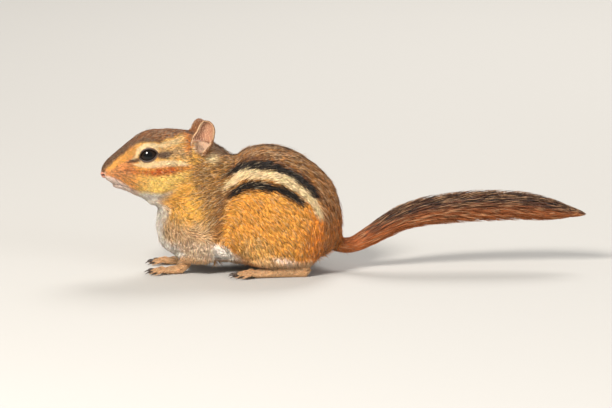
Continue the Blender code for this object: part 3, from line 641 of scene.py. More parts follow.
# %% Smooth it, gently where the forms are small
BODY_ROUNDS = 70
FACE_ROUNDS = 14
FEET_TOP = 7.0
NAPE_AT = (-53.0, 0.0, 54.4)
NAPE_AHEAD = (-0.72, 0.0, 0.69)


def relaxed(points, edges, weight, rounds):
    """In each round every point goes part of the way, its weight, to the mean of its neighbours."""
    count = np.bincount(edges.ravel(), minlength=len(points))
    values = points.copy()
    for _ in range(rounds):
        for column in range(values.shape[1]):
            own = values[:, column]
            total = np.bincount(edges[:, 0], own[edges[:, 1]], minlength=len(points))
            total += np.bincount(edges[:, 1], own[edges[:, 0]], minlength=len(points))
            values[:, column] = own + weight * (total / count - own)
    return values


def head_share(points):
    """1 on the head and 0 behind the neck, across a slanting line at the nape."""
    return soft_step(-3.0, 3.0, (points - NAPE_AT) @ NAPE_AHEAD)


def normals_of(points, faces):
    """Each point's direction outwards: the sum of its faces' normals, which grow with their area."""
    a, b, c = (points[faces[:, corner]] for corner in range(3))
    columns = np.repeat(np.cross(b - a, c - a), 3, axis=0).T
    total = [np.bincount(faces.ravel(), column, minlength=len(points)) for column in columns]
    return unit(np.column_stack(total))


in_head = to_head(skin_points)
on_face = head_share(skin_points) * soft_step(-4.0, -14.0, in_head[:, 0])
on_foot = soft_step(FEET_TOP, FEET_TOP - 3.0, skin_points[:, 2]) * (np.abs(skin_points[:, 1]) > 4.0)
on_whip = soft_step(2.0, 8.0, skin_points[:, 0])
small_forms = np.maximum(np.maximum(on_face, on_foot), on_whip)
skin_points = relaxed(skin_points, skin_edges, 0.5 - 0.45 * on_foot, FACE_ROUNDS)
skin_points = relaxed(skin_points, skin_edges, 0.5 * (1.0 - small_forms), BODY_ROUNDS)
skin_normals = normals_of(skin_points, skin_faces)
print("skin box, mm:", skin_points.min(axis=0).round(1), skin_points.max(axis=0).round(1))

# %% [markdown]
# ## Where the bare skin lies
# The solids reach out to the tips of the coat. The skin lies inside them by the coat's depth: more
# than a millimetre under the long hair of the body, a third of that on the cheeks, and almost
# nothing on the muzzle, the lids and the feet.

# %% Coat depth
BODY_DEPTH = 1.25
CROWN_DEPTH = 0.75
FACE_DEPTH = 0.4
MUZZLE_DEPTH = 0.2
FOOT_DEPTH = 0.2


def to_left(in_head):
    """The head's places, those of the right half mirrored to the left."""
    return in_head * (1.0, 0.0, 1.0) - np.abs(in_head) * (0.0, 1.0, 0.0)


def from_eye(in_head):
    """Distance from the middle of the nearer eye, in the head's axes."""
    return np.linalg.norm(to_left(in_head) - EYE_AT, axis=1)


def coat_depth(points):
    """How far the skin lies under the tips of the coat, blended from place to place."""
    in_head = to_head(points)
    face = soft_step(-12.0, -26.0, in_head[:, 0])
    muzzle = soft_step(-32.0, -38.0, in_head[:, 0])
    near_eye = soft_step(8.0, 5.5, from_eye(in_head))
    head = toward(CROWN_DEPTH, FACE_DEPTH, face)
    head = toward(head, MUZZLE_DEPTH, np.maximum(muzzle, near_eye))
    depth = toward(BODY_DEPTH, head, head_share(points))
    low = soft_step(9.0, 4.5, points[:, 2]) * (np.abs(points[:, 1]) > 4.0)
    depth = toward(depth, FOOT_DEPTH, low)
    return depth * (1.0 - soft_step(0.0, 6.0, points[:, 0]))


skin_depth = coat_depth(skin_points)
skin_points = skin_points - skin_normals * (skin_depth + CLOSE_GAP)[:, None]
print("coat depth, mm:", skin_depth.min().round(2), "to", skin_depth.max().round(2))

# %% [markdown]
# ## Where the folds of the face run
# The mouth is a thin furrow along an oval ball's edge, where the lower jaw meets the muzzle,
# deepest at the front and gone behind the corner. The eye's opening is an almond between two arcs.
# The ear's bowl sinks into the head behind its fold. Each is a function that says how near a place
# is, so the sculptor, the palette and the coat can all ask the same question.

# %% Eye openings, mouth, nose bed and ear bowls
JAW_AT = np.array([-36.2, 0.0, -15.0])
JAW_RADII = np.array([7.8, 4.9, 3.4])
MOUTH_DEPTH = 0.75
MOUTH_WIDTH = 0.42
MOUTH_CORNER_X = -32.0
EAR_RIGHT_FORWARD = 1.0
EAR_RIGHT_LEAN = 1.4
HOLLOW_AT = (-4.7, 2.7)
HOLLOW_RADII = (3.0, 3.4)


def ear_hollow(in_head):
    """1 in the floor of the ear's bowl. The right ear's root stands a little forward."""
    x = in_head[:, 0] + (EAR_RIGHT_FORWARD + EAR_RIGHT_LEAN) * (in_head[:, 1] > 0)
    ahead, above = x - HOLLOW_AT[0], in_head[:, 2] - HOLLOW_AT[1]
    level = np.hypot(ahead / HOLLOW_RADII[0], above / HOLLOW_RADII[1])
    return soft_step(1.3, 0.6, level) * soft_step(5.5, 7.0, np.abs(in_head[:, 1]))


def almond(along, across, grow=0.0):
    """Under 1 inside the eye's opening: the height over that of the arc between its corners."""
    half_length, half_height = EYE_HALF_LENGTH + grow, EYE_HALF_HEIGHT + grow
    arc = (half_length**2 + half_height**2) / (2.0 * half_height)
    rim = np.sqrt(np.maximum(arc**2 - along**2, 0.0)) - (arc - half_height)
    return np.where(np.abs(along) < half_length, np.abs(across) / np.maximum(rim, 0.01), 9.0)


def furrow(distance, width):
    """1 in the middle of a furrow, falling off on both sides like a bell."""
    return np.exp(-((distance / width) ** 2))


def oval_distance(places, centre, radii):
    """About how far places lie outside an oval ball: its level over the level's slope."""
    level = np.linalg.norm((places - centre) / radii, axis=1)
    slope = np.linalg.norm((places - centre) / radii**2, axis=1) / np.maximum(level, 1e-6)
    return (level - 1.0) / slope


def mouth_line(in_head):
    """1 on the line of the mouth, fading behind its corner and under the chin."""
    edge = oval_distance(in_head, JAW_AT, JAW_RADII)
    ahead = soft_step(MOUTH_CORNER_X + 2.0, MOUTH_CORNER_X - 1.5, in_head[:, 0])
    above = soft_step(-16.2, -15.2, in_head[:, 2])
    return furrow(edge, MOUTH_WIDTH) * ahead * above


print("skin points on the mouth's line:", int((mouth_line(to_head(skin_points)) > 0.5).sum()))

# %% [markdown]
# ## Sculpting the face
# Inside the almond opening the skin drops to a bed behind the eyeball. The mouth, the nose's bed,
# the ear's bowl and the short cleft from nose to lip are pushed in along the skin's normals. A
# modifier then thins the mesh, because the coat hides what the remesh had too much of.

# %% Press the folds in
CLEFT_DEPTH = 0.45
CLEFT_WIDTH = 0.4
EYE_BED = 3.7
NOSE_BED = 1.1
HOLLOW_DEPTH = 1.7
LOWEST_SKIN = 0.08
SKIN_TRIANGLES = 185000


def sculpted(points, normals):
    """The skin with its eye openings, mouth, cleft, nose bed and ear bowls pushed in."""
    in_head = to_head(points)
    left = to_left(in_head)
    about_eye = (left - EYE_AT) @ eye_axes().T
    reach = np.linalg.norm(about_eye, axis=1)
    opened = (almond(about_eye[:, 0], about_eye[:, 1]) < 1.0) & (about_eye[:, 2] > 1.0)
    opened &= reach < 8.0
    bed = EYE_AT + (left - EYE_AT) * (EYE_BED / reach)[:, None]
    bed[:, 1] *= np.where(in_head[:, 1] > 0, -1.0, 1.0)
    in_head = np.where(opened[:, None], bed, in_head)
    points = from_head(in_head)
    muzzle = head_share(points) * soft_step(-30.0, -33.0, in_head[:, 0])
    push = MOUTH_DEPTH * mouth_line(in_head)
    cleft = furrow(in_head[:, 1], CLEFT_WIDTH) * soft_step(-43.0, -44.2, in_head[:, 0])
    push += CLEFT_DEPTH * cleft * soft_step(-11.6, -10.6, in_head[:, 2])
    push *= muzzle
    push += NOSE_BED * soft_step(0.3, -0.3, oval_distance(in_head, PAD_AT, PAD_RADII))
    push += HOLLOW_DEPTH * ear_hollow(in_head)
    return points - normals * push[:, None]


skin_points = sculpted(skin_points, skin_normals)
skin_points[:, 2] = np.maximum(skin_points[:, 2], LOWEST_SKIN)
kept_share = SKIN_TRIANGLES / len(skin_faces)
skin_points, skin_faces = reshaped(
    skin_points, skin_faces, "DECIMATE", ratio=kept_share, use_collapse_triangulate=True
)
skin_edges = edges_of(skin_faces)
skin_normals = normals_of(skin_points, skin_faces)
print("skin triangles:", len(skin_faces))

# %% [markdown]
# ## The colours of a chipmunk
# Each colour is named for where it grows. Beside its hue it says what share of its hairs end dark
# and what share end pale, because the brown of the back is not one brown: it is rusty, black and
# straw-coloured hairs side by side. Hues are given as they look, then made linear for the shader.

# %% Palette
HUES = {
    "flank": ((250, 176, 76), 0.10, 0.14),
    "haunch": ((238, 138, 46), 0.12, 0.12),
    "back": ((182, 122, 56), 0.38, 0.26),
    "rump": ((192, 122, 54), 0.32, 0.24),
    "nape": ((194, 140, 74), 0.32, 0.26),
    "black": ((38, 29, 22), 0.0, 0.05),
    "fringe": ((122, 70, 38), 0.2, 0.05),
    "cream": ((252, 224, 172), 0.0, 0.04),
    "belly": ((255, 247, 234), 0.0, 0.0),
    "arm": ((232, 190, 142), 0.14, 0.26),
    # Painted shade: a dark band for the crease between the shoulder and the flank.
    "fold_shade": ((146, 100, 62), 0.26, 0.12),
    "knee": ((250, 190, 102), 0.14, 0.24),
    "crown": ((160, 98, 46), 0.42, 0.22),
    "bridge": ((118, 76, 48), 0.34, 0.20),
    "snout": ((236, 158, 92), 0.14, 0.14),
    "gold": ((242, 176, 88), 0.06, 0.12),
    "rust": ((206, 98, 38), 0.20, 0.04),
    "cheek": ((255, 214, 116), 0.04, 0.12),
    "jowl": ((250, 190, 88), 0.10, 0.16),
    "lip": ((255, 230, 214), 0.0, 0.10),
    "temple": ((112, 84, 66), 0.24, 0.12),
    "buff": ((218, 172, 114), 0.18, 0.26),
    "ear_front": ((226, 140, 60), 0.08, 0.1),
    "hollow": ((248, 220, 198), 0.0, 0.3),
    "paw": ((216, 168, 120), 0.08, 0.2),
    "tail_root": ((188, 106, 54), 0.14, 0.12),
}


def linear(hue):
    """Red, green and blue from 0 to 255 as they look, turned to the shader's linear values."""
    share = np.asarray(hue, float) / 255.0
    return np.where(share <= 0.04045, share / 12.92, ((share + 0.055) / 1.055) ** 2.4)


DARK_HAIR = linear((50, 37, 29))
LID_COLOUR = linear((44, 32, 27))
PALE_HAIR = linear((236, 212, 172))
PAINTS = {name: np.array([*linear(hue), dark, pale]) for name, (hue, dark, pale) in HUES.items()}
print("colours:", len(PAINTS))

# %% [markdown]
# ## Stripes and patches, by formula
# Seen from the side, the stripes of the hunched back are arcs round one middle. So a point's
# distance and angle from that middle say which stripe it is on. An image could be wrapped round
# the body, but it would stretch at the haunch and the tufts could not read it as exactly.

# %% Stripes
STRIPE_MIDDLE = (-32.0, 20.0)
# For each stripe: angles from upright, its distance from the middle there, and its half width.
UPPER_DARK = (
    (-38, -27, -14, 1, 17, 30, 44, 62),
    (26.8, 25.9, 26.1, 26.1, 25.5, 25.1, 25.3, 25.3),
    (0.8, 1.3, 1.6, 1.7, 1.5, 1.5, 1.4, 1.0),
)
PALE = (
    (-46, -34, -16, 1, 19, 37, 55, 69, 80),
    (23.6, 23.3, 23.0, 22.3, 22.3, 21.9, 22.6, 23.4, 24.4),
    (1.1, 1.5, 1.6, 1.6, 1.7, 1.5, 1.4, 1.2, 0.8),
)
LOWER_DARK = (
    (-52, -37, -16, 4, 24, 43, 59),
    (20.0, 19.3, 19.0, 17.9, 18.2, 18.6, 19.8),
    (0.7, 1.3, 1.5, 1.5, 1.5, 1.4, 0.9),
)


def stripe(distance, angle, rows, fray):
    """1 on a stripe: its middle and half width are read off by angle, and its ends taper away."""
    angles, middle, half = rows
    off = np.abs(distance - np.interp(angle, angles, middle)) - np.interp(angle, angles, half)
    inside = soft_step(0.45, -0.45, off + fray)
    begun = soft_step(angles[0] - 6, angles[0] + 8, angle + fray * 6)
    return inside * begun * soft_step(angles[-1] + 4, angles[-1] - 4, angle)


def patch(x, z, centre, radii, soft=0.35):
    """1 inside an oval patch of the side view, falling to 0 over a soft edge."""
    level = np.hypot((x - centre[0]) / radii[0], (z - centre[1]) / radii[1])
    return soft_step(1.0 + soft, 1.0 - soft, level)


def lay(paint, name, mask):
    """Lays one named colour over the others by its mask."""
    return toward(paint, PAINTS[name], mask[:, None])


on_stripe = stripe(np.array([22.3]), np.array([10.0]), PALE, 0.0)
print("on the pale stripe's middle:", on_stripe)

# %% [markdown]
# ## Painting the body
# Colours are laid one over the other, as a painter works: the broad orange of the flank first,
# then the brown back, the shoulder, the arm, the stripes, and last the white belly and the feet.
# Clouds shift every edge a little, as hairs from one colour lie over the next. The same function
# paints the skin and every tuft, so the two always agree.


# %% Body markings
def body_paint(points, normals):
    """The trunk's and limbs' colour, dark share and pale share at every point."""
    ragged = cloud(points, 1.6, 3) * 0.5 + cloud(points, 5.0, 4) * 0.6
    x, side, z = points[:, 0], np.abs(points[:, 1]), points[:, 2]
    across, up = x - STRIPE_MIDDLE[0], z - STRIPE_MIDDLE[1]
    distance = np.hypot(across, up)
    angle = np.degrees(np.arctan2(across, up))
    paint = np.tile(PAINTS["flank"], (len(points), 1))
    haunch = soft_step(-20.0, -6.0, x + ragged * 2 - (z - 20) * 0.2) * soft_step(40, 30, z)
    paint = lay(paint, "haunch", haunch)
    knee = patch(x + ragged, z, (-35.0, 7.5), (7.5, 9.5), 0.3) * soft_step(13.0, 16.0, side)
    paint = lay(paint, "knee", knee)
    top_stripe = np.interp(angle, UPPER_DARK[0], UPPER_DARK[1])
    above = soft_step(-1.0, 1.0, distance + ragged * 0.6 - top_stripe)
    above *= soft_step(-56, -44, angle) * soft_step(128, 108, angle)
    paint = lay(paint, "back", above)
    paint = lay(paint, "rump", above * soft_step(35, 75, angle + ragged * 8))
    paint = lay(paint, "haunch", above * soft_step(72, 100, angle + ragged * 8) * 0.5)
    shoulder = soft_step(-44.0, -50.0, x + ragged * 2 - (z - 34) * 0.35)
    paint = lay(paint, "nape", shoulder * soft_step(16.0, 22.0, z + ragged * 2))
    front = soft_step(-55.0, -62.0, x + ragged * 2 + (z - 30) * 0.3)
    paint = lay(paint, "jowl", front * soft_step(44.0, 36.0, z + ragged * 2))
    arm = soft_step(-51.5, -55.5, x + ragged - (z - 15) * 0.1) * soft_step(26.0, 17.0, z + ragged * 2)
    paint = lay(paint, "arm", arm)
    # Painted shade: the crease between the shoulder and the flank is drawn darker.
    fold_shade = furrow(x + 50.6 - (z - 22) * 0.06 + ragged * 1.2, 2.3) * soft_step(9.0, 17.0, z)
    fold_shade *= soft_step(42.0, 31.0, z)
    paint = lay(paint, "fold_shade", fold_shade * 0.8)
    for rows, name in ((UPPER_DARK, "black"), (LOWER_DARK, "black"), (PALE, "cream")):
        if name == "black":
            wider = (rows[0], rows[1], np.array(rows[2]) + 1.0)
            paint = lay(paint, "fringe", stripe(distance, angle, wider, ragged * 0.5) * 0.7)
        paint = lay(paint, name, stripe(distance, angle, rows, ragged * 0.35))
    middle = furrow(side + ragged * 0.25, 0.95) * soft_step(-50.0, -46.0, x) * soft_step(-1.0, -8.0, x)
    paint = lay(paint, "black", middle * (normals[:, 2] > -0.2))
    pale_edge = 8.5 + soft_step(-40.0, -50.0, x) * 5.0 - soft_step(-26.0, -14.0, x) * 3.0
    belly = soft_step(1.5, -1.5, z - pale_edge + ragged * 1.2) * soft_step(0.35, -0.1, normals[:, 2])
    belly *= 1.0 - knee * 0.85
    belly *= 1.0 - arm * 0.7 * soft_step(9.0, 12.0, side)
    belly *= soft_step(1.0, -4.0, x)
    paint = lay(paint, "belly", belly)
    ahead = -normals @ (0.8, 0.0, 0.6)
    chest = soft_step(0.15, 0.7, ahead + ragged * 0.15) * soft_step(-50.0, -60.0, x)
    chest *= soft_step(44.0, 36.0, z)
    bib = 9.5 - 3.5 * soft_step(24.0, 12.0, z)
    paint = lay(paint, "belly", chest * soft_step(bib + 1.8, bib - 2.2, side + ragged * 2.2))
    foot = soft_step(7.5, 5.0, z + ragged) * (side > 4.5)
    paint = lay(paint, "paw", foot)
    return lay(paint, "tail_root", soft_step(0.5, 3.0, x + ragged))


flank_place = np.array([[-24.0, -22.0, 26.0]])
print("on the flank:", body_paint(flank_place, np.array([[0.0, -1.0, 0.0]]))[0, :3].round(2))

# %% [markdown]
# ## The striped face
# Five bands run back along each side of the face: a pale brow over the eye, a dark line through
# it, a pale line under it, a rusty one across the cheek, and the golden cheek itself, which pales
# to the throat. Each band follows a short line of places in the side view, in the head's axes. Its
# half width may change along it, so each line has a row of widths.

# %% Bands of the face
BROW = (
    (-33.4, -2.8), (-31.6, -0.8), (-30.7, 1.6), (-28.3, 3.5), (-24.8, 3.8), (-22.0, 3.3),
    (-19.4, 3.6), (-15.9, 4.3), (-11.9, 5.6),
)
BROW_WIDTHS = (0.3, 0.6, 0.8, 0.85, 0.7, 0.7, 1.1, 1.3, 1.1)
CROWN_EDGE = (
    (-46.0, -7.2), (-44.0, -5.8), (-41.1, -3.5), (-37.6, -0.6), (-34.5, 2.2), (-31.4, 4.1), (-28.4, 5.3),
    (-24.6, 5.1), (-21.8, 4.7), (-15.7, 6.3), (-11.6, 7.7), (-6.0, 8.3),
)
GOLD_BAND = ((-42.6, -6.0), (-39.5, -3.6), (-36.5, -1.7), (-33.4, 0.8), (-31.2, 2.6))
GOLD_WIDTHS = (0.9, 1.4, 1.6, 1.3, 0.5)
BEFORE_EYE = ((-35.0, -3.8), (-33.4, -3.0), (-31.7, -2.5), (-30.2, -2.0))
BEFORE_WIDTHS = (0.3, 0.65, 0.8, 0.6)
BEHIND_EYE = ((-23.2, -0.5), (-20.7, -0.6), (-19.0, -0.6), (-16.9, 0.0), (-14.0, 0.3))
BEHIND_WIDTHS = (0.8, 1.35, 1.35, 1.0, 0.5)
UNDER_EYE = (
    (-32.6, -4.2), (-29.7, -4.6), (-27.0, -4.9), (-24.3, -4.5), (-21.4, -4.2), (-18.1, -4.1),
    (-14.8, -4.1), (-11.9, -4.6), (-9.0, -4.9),
)
UNDER_WIDTHS = (0.3, 0.75, 1.0, 1.2, 1.4, 1.4, 1.2, 0.9, 0.5)
CHEEK_STRIPE = (
    (-35.4, -6.4), (-31.8, -7.4), (-28.4, -7.8), (-25.0, -7.7), (-20.1, -7.2), (-16.4, -6.9),
    (-13.0, -6.3), (-9.6, -5.9), (-6.0, -5.4),
)
CHEEK_WIDTHS = (0.5, 1.1, 1.4, 1.8, 2.0, 1.8, 1.3, 0.9, 0.4)
LIP_EDGE = (
    (-46.0, -8.8), (-43.3, -9.2), (-41.2, -9.9), (-38.7, -11.0), (-36.0, -12.8), (-32.8, -14.8),
    (-29.0, -16.4), (-24.0, -18.0), (-14.0, -19.2),
)

FACE_BANDS = (BROW, GOLD_BAND, BEFORE_EYE, BEHIND_EYE, UNDER_EYE, CHEEK_STRIPE)
print("bands on each side of the face:", len(FACE_BANDS))

# %% [markdown]
# ## Streaks
# To paint a band, each point asks how far it is from the nearest stretch of the band's line, and
# compares that with the half width there. An edge between two colours needs less: only how high a
# point lies over the line, which one interpolation answers.


# %% Distance to a band
def streak(x, z, line, widths, soft=0.7):
    """1 within a half width of a line of places in the side view, falling to 0 over a soft edge."""
    line = np.array(line)
    best, half = np.full(len(x), 99.0), np.zeros(len(x))
    spans = zip(line[:-1], line[1:], widths[:-1], widths[1:])
    for start, end, half_start, half_end in spans:
        way = end - start
        share = ((x - start[0]) * way[0] + (z - start[1]) * way[1]) / (way @ way)
        share = np.clip(share, 0.0, 1.0)
        away = np.hypot(x - start[0] - way[0] * share, z - start[1] - way[1] * share)
        nearer = away < best
        best = np.where(nearer, away, best)
        half = np.where(nearer, half_start + (half_end - half_start) * share, half)
    return soft_step(half + soft / 2, half - soft / 2, best)


def height_over(x, z, line):
    """How far places lie above a line that is given from front to back in the side view."""
    return z - np.interp(x, [place[0] for place in line], [place[1] for place in line])


print("on the brow's middle:", streak(np.array([-24.8]), np.array([3.8]), BROW, BROW_WIDTHS))

# %% [markdown]
# ## Painting the head
# The order is again from broad to small: cheek, muzzle and crown, then the bands, then the lips
# and the nose's edge. Bands of real fur are never even, so clouds thin them here and there, and
# the pale brow breaks up towards the ear.


# %% Face markings
def head_paint(points, normals):
    """The head's colour, dark share and pale share at every point, in the head's axes."""
    places, facing = to_head(points), normals @ HEAD_TURN
    ragged = cloud(places, 1.0, 5) * 0.35 + cloud(places, 3.5, 6) * 0.4
    x, side, z = places[:, 0], np.abs(places[:, 1]), places[:, 2] + ragged * 0.45
    paint = np.tile(PAINTS["jowl"], (len(points), 1))
    paint = lay(paint, "cheek", patch(x, z, (-19.5, -13.4), (13.5, 7.2), 0.3))
    paint = lay(paint, "snout", soft_step(-29.0, -34.0, x))
    paint = lay(paint, "gold", patch(x, z, (-32.5, -11.8), (5.5, 3.2), 0.5) * 0.6)
    paint = lay(paint, "nape", soft_step(-9.0, -4.0, x + ragged * 2) * soft_step(-12.0, -8.0, z) * 0.6)
    temple_side = soft_step(-25.0, -21.0, x) * soft_step(-7.0, -10.0, x)
    paint = lay(paint, "buff", temple_side * furrow(z - 0.6, 3.4) * soft_step(4.0, 6.0, side) * 0.9)
    paint = lay(paint, "gold", streak(x, z, GOLD_BAND, GOLD_WIDTHS, 1.0))
    above = height_over(x, z, CROWN_EDGE)
    crown = soft_step(-0.9, 1.0, above + cloud(places, 0.8, 15) * 0.5)
    between_ears = soft_step(-16.0, -11.0, x) * soft_step(6.4, 4.2, side + ragged)
    crown = np.maximum(crown, between_ears * soft_step(2.0, 5.0, z))
    paint = lay(paint, "crown", crown)
    paint = lay(paint, "bridge", crown * soft_step(-26.0, -36.0, x + ragged * 3))
    edge = furrow(above - 0.3, 0.55) * soft_step(-33.0, -30.0, x) * soft_step(-18.0, -22.0, x)
    paint = lay(paint, "bridge", edge * 0.8)
    ear_side = soft_step(-13.5, -9.0, x) * soft_step(3.0, 5.0, side)
    paint = lay(paint, "ear_front", patch(x, z, (-10.4, 5.2), (2.2, 5.4), 0.4) * ear_side)
    away = from_eye(places)
    ring = soft_step(5.7, 5.1, away) * soft_step(1.2, 2.2, np.abs(z - EYE_AT[2]))
    paint = lay(paint, "cream", ring)
    behind = streak(x, z, BEHIND_EYE, BEHIND_WIDTHS, 1.2)
    paint = lay(paint, "temple", behind * soft_step(-14.0, -19.0, x))
    brow = streak(x, z, BROW, BROW_WIDTHS) * soft_step(3.0, 4.5, side)
    streaky = 1.0 - soft_step(-23.0, -18.0, x) * (0.35 + 0.3 * cloud(places, 0.7, 14))
    paint = lay(paint, "cream", np.clip(brow * streaky, 0.0, 1.0) * soft_step(-10.5, -14.0, x))
    under = streak(x, z, UNDER_EYE, UNDER_WIDTHS, 0.9)
    paint = lay(paint, "cream", under * soft_step(-8.0, -12.0, x))
    paint = lay(paint, "temple", streak(x, z, BEFORE_EYE, BEFORE_WIDTHS) * 0.9)
    rust = streak(x, z, CHEEK_STRIPE, CHEEK_WIDTHS, 2.4) * (0.85 + 0.3 * cloud(places, 1.1, 16))
    rust *= 0.55 + 0.45 * patch(x, z, (-21.5, -7.5), (9.0, 3.4), 0.6)
    paint = lay(paint, "rust", np.clip(rust, 0.0, 1.0))
    lip = soft_step(0.7, -0.7, height_over(x, z, LIP_EDGE))
    front = soft_step(-27.0, -33.0, x)
    paint = lay(paint, "lip", lip * front)
    paint = lay(paint, "belly", lip * (1.0 - front) * soft_step(-8.0, -14.0, x + side * 0.3))
    throat = soft_step(-0.55, -0.85, facing[:, 2]) * soft_step(-8.0, -14.0, x)
    paint = lay(paint, "belly", throat * (1.0 - front))
    # Painted shade: a dark line in the notch at the ear's front root.
    notch_shade = streak(x, z, ((-9.1, 1.6), (-8.8, -2.6)), (0.5, 0.3))
    paint = lay(paint, "bridge", notch_shade * soft_step(8.0, 9.0, side) * 0.8)
    nose = oval_distance(places, NOSE_AT, NOSE_RADII)
    top = soft_step(-8.4, -7.2, z)
    paint = lay(paint, "bridge", soft_step(1.3, 0.4, nose) * top * 0.8)
    paint = lay(paint, "lip", soft_step(1.2, 0.4, nose) * (1.0 - top) * 0.6)
    return lay(paint, "hollow", ear_hollow(places))


pale_line = from_head(np.array([[-24.3, -10.0, -4.5]]))
print("on the pale line:", head_paint(pale_line, np.array([[0.0, -1.0, 0.0]]))[0, :3].round(2))

# %% [markdown]
# ## Coat and bare skin
# The head's and the body's colours blend across the nape, which is dark, and behind each ear there
# is a pale spot. The skin under the coat is a little darker than the hair over it, so that gaps
# between tufts look like shade. Round the eye it is nearly black, as if wet.

# %% Colour of the coat, colour of the skin
NAPE_PATCH = ((-48.8, 52.6), (6.6, 3.6), 0.4)
EAR_PATCH = ((-53.6, 48.4), (2.7, 1.7), 0.35)
# Painted shade for the crease of the mouth.
MOUTH_SHADE = linear((96, 52, 46))


def coat_paint(points, normals):
    """Head and body colours, blended across the nape, with a dark patch and two pale spots."""
    head = head_share(points)[:, None]
    paint = body_paint(points, normals) * (1.0 - head) + head_paint(points, normals) * head
    ragged = cloud(points, 1.1, 18) * 0.5
    x, side, z = points[:, 0], np.abs(points[:, 1]), points[:, 2] + ragged
    paint = lay(paint, "bridge", patch(x, z, *NAPE_PATCH) * 0.75)
    behind_ear = patch(x, z, *EAR_PATCH) * soft_step(6.0, 8.0, side)
    return lay(paint, "cream", behind_ear * (0.8 + ragged))


def bare_colour(points, normals):
    """The coat's colour, with painted shade under deep coat and in the mouth, dark by the eye."""
    # Painted shade: the skin is darker where the coat over it is deep.
    shade = 0.92 - 0.3 * soft_step(0.25, 1.1, coat_depth(points))
    colour = coat_paint(points, normals)[:, :3] * shade[:, None]
    in_head = to_head(points)
    # Painted shade: the mouth's crease is drawn dark.
    mouth = np.clip(mouth_line(in_head) * 1.2, 0.0, 1.0) * head_share(points)
    colour = toward(colour, MOUTH_SHADE, mouth[:, None])
    about_eye = (to_left(in_head) - EYE_AT) @ eye_axes().T
    margin = soft_step(1.1, 0.95, almond(about_eye[:, 0], about_eye[:, 1], 0.5))
    margin *= from_eye(in_head) < 8.0
    return toward(colour, LID_COLOUR, margin[:, None])


skin_colour = bare_colour(skin_points, skin_normals)
print("mean colour of the skin:", skin_colour.mean(axis=0).round(2))

# %% [markdown]
# ## Finishes
# One material serves every furry piece. Its colour comes from the attribute Coat, and a fine noise
# breaks it into single hairs. Fur shines softly along its edges, so it has a little sheen and a
# broad, weak highlight. The eyes, lids, nose and ears read the same attribute, with other values.


# %% Material helpers
def principled(name, roughness, **values):
    """A material and its Principled shader, with plain values set on the shader's own sockets."""
    made = bpy.data.materials.new(name)
    made.use_nodes = True
    shader = made.node_tree.nodes["Principled BSDF"]
    shader.inputs["Roughness"].default_value = roughness
    for socket, value in values.items():
        shader.inputs[socket.replace("_", " ")].default_value = value
    return made, shader


def noise_of(material, size):
    """A noise on Object coordinates whose cells are this many millimetres."""
    nodes, links = material.node_tree.nodes, material.node_tree.links
    place = nodes.new("ShaderNodeTexCoord")
    mapping = nodes.new("ShaderNodeMapping")
    mapping.inputs["Scale"].default_value = [1.0 / (size * MM)] * 3
    noise = nodes.new("ShaderNodeTexNoise")
    noise.inputs["Scale"].default_value = 1.0
    noise.inputs["Detail"].default_value = 2.0
    links.new(place.outputs["Object"], mapping.inputs["Vector"])
    links.new(mapping.outputs["Vector"], noise.inputs["Vector"])
    return noise


def vary(material, colour_from, noise, low, high):
    """Multiplies a colour by a grey that follows the noise between two values."""
    nodes, links = material.node_tree.nodes, material.node_tree.links
    spread = nodes.new("ShaderNodeMapRange")
    spread.inputs["From Min"].default_value = 0.3
    spread.inputs["From Max"].default_value = 0.7
    spread.inputs["To Min"].default_value = low
    spread.inputs["To Max"].default_value = high
    mix = nodes.new("ShaderNodeVectorMath")
    mix.operation = "SCALE"
    links.new(noise.outputs["Fac"], spread.inputs["Value"])
    links.new(colour_from, mix.inputs[0])
    links.new(spread.outputs["Result"], mix.inputs["Scale"])
    return mix.outputs["Vector"]


def add_bump(material, shader, noise, depth):
    """Bump whose height is the noise times a depth in millimetres."""
    nodes, links = material.node_tree.nodes, material.node_tree.links
    bump = nodes.new("ShaderNodeBump")
    bump.inputs["Distance"].default_value = depth * MM
    links.new(noise.outputs["Fac"], bump.inputs["Height"])
    links.new(bump.outputs["Normal"], shader.inputs["Normal"])


def painted(name, roughness, grain=None, depth=0.0, shades=None, **values):
    """A material in the colours of the attribute Coat, which a noise may shade and roughen.

    The noise's size and depth are in millimetres, and its shades multiply the colour.
    """
    made, shader = principled(name, roughness, **values)
    coat = made.node_tree.nodes.new("ShaderNodeAttribute")
    coat.attribute_name = "Coat"
    colour = coat.outputs["Color"]
    if grain:
        noise = noise_of(made, grain)
        add_bump(made, shader, noise, depth)
    if shades:
        colour = vary(made, colour, noise, *shades)
    made.node_tree.links.new(colour, shader.inputs["Base Color"])
    return made


HAIR_SHINE = {"Specular_IOR_Level": 0.28, "Sheen_Roughness": 0.45}
fur = painted("chipmunk fur", 0.62, 0.22, 0.066, (0.82, 1.16), Sheen_Weight=0.06, **HAIR_SHINE)
undercoat = painted("skin under the coat", 0.8, 0.3, 0.09, (0.7, 1.1), Sheen_Weight=0.05, **HAIR_SHINE)
print("materials:", len(bpy.data.materials))

# %% [markdown]
# ## The skin becomes a piece
# The sculpted surface gets its colours and stands for every node of flesh and the feet.

# %% Skin piece
FOOT_NODES = [foot + "_" + word for foot in ("forefoot", "hindfoot") for word in SIDES]
skin_mesh = mesh_from("skin", skin_points, skin_faces)
give_colour(skin_mesh, skin_colour)
piece("skin", skin_mesh, undercoat, "coat", *FLESH_NODES, *FOOT_NODES)

# %% [markdown]
# ## How the hair lies
# Hair grows from the nose towards the tail and down the flanks and legs. On the hunched back it
# follows the arcs of the stripes. On the face it runs straight back and parts round the eye. Each
# of these ways is a vector, weighted by where it holds. The sum is laid flat on the skin.


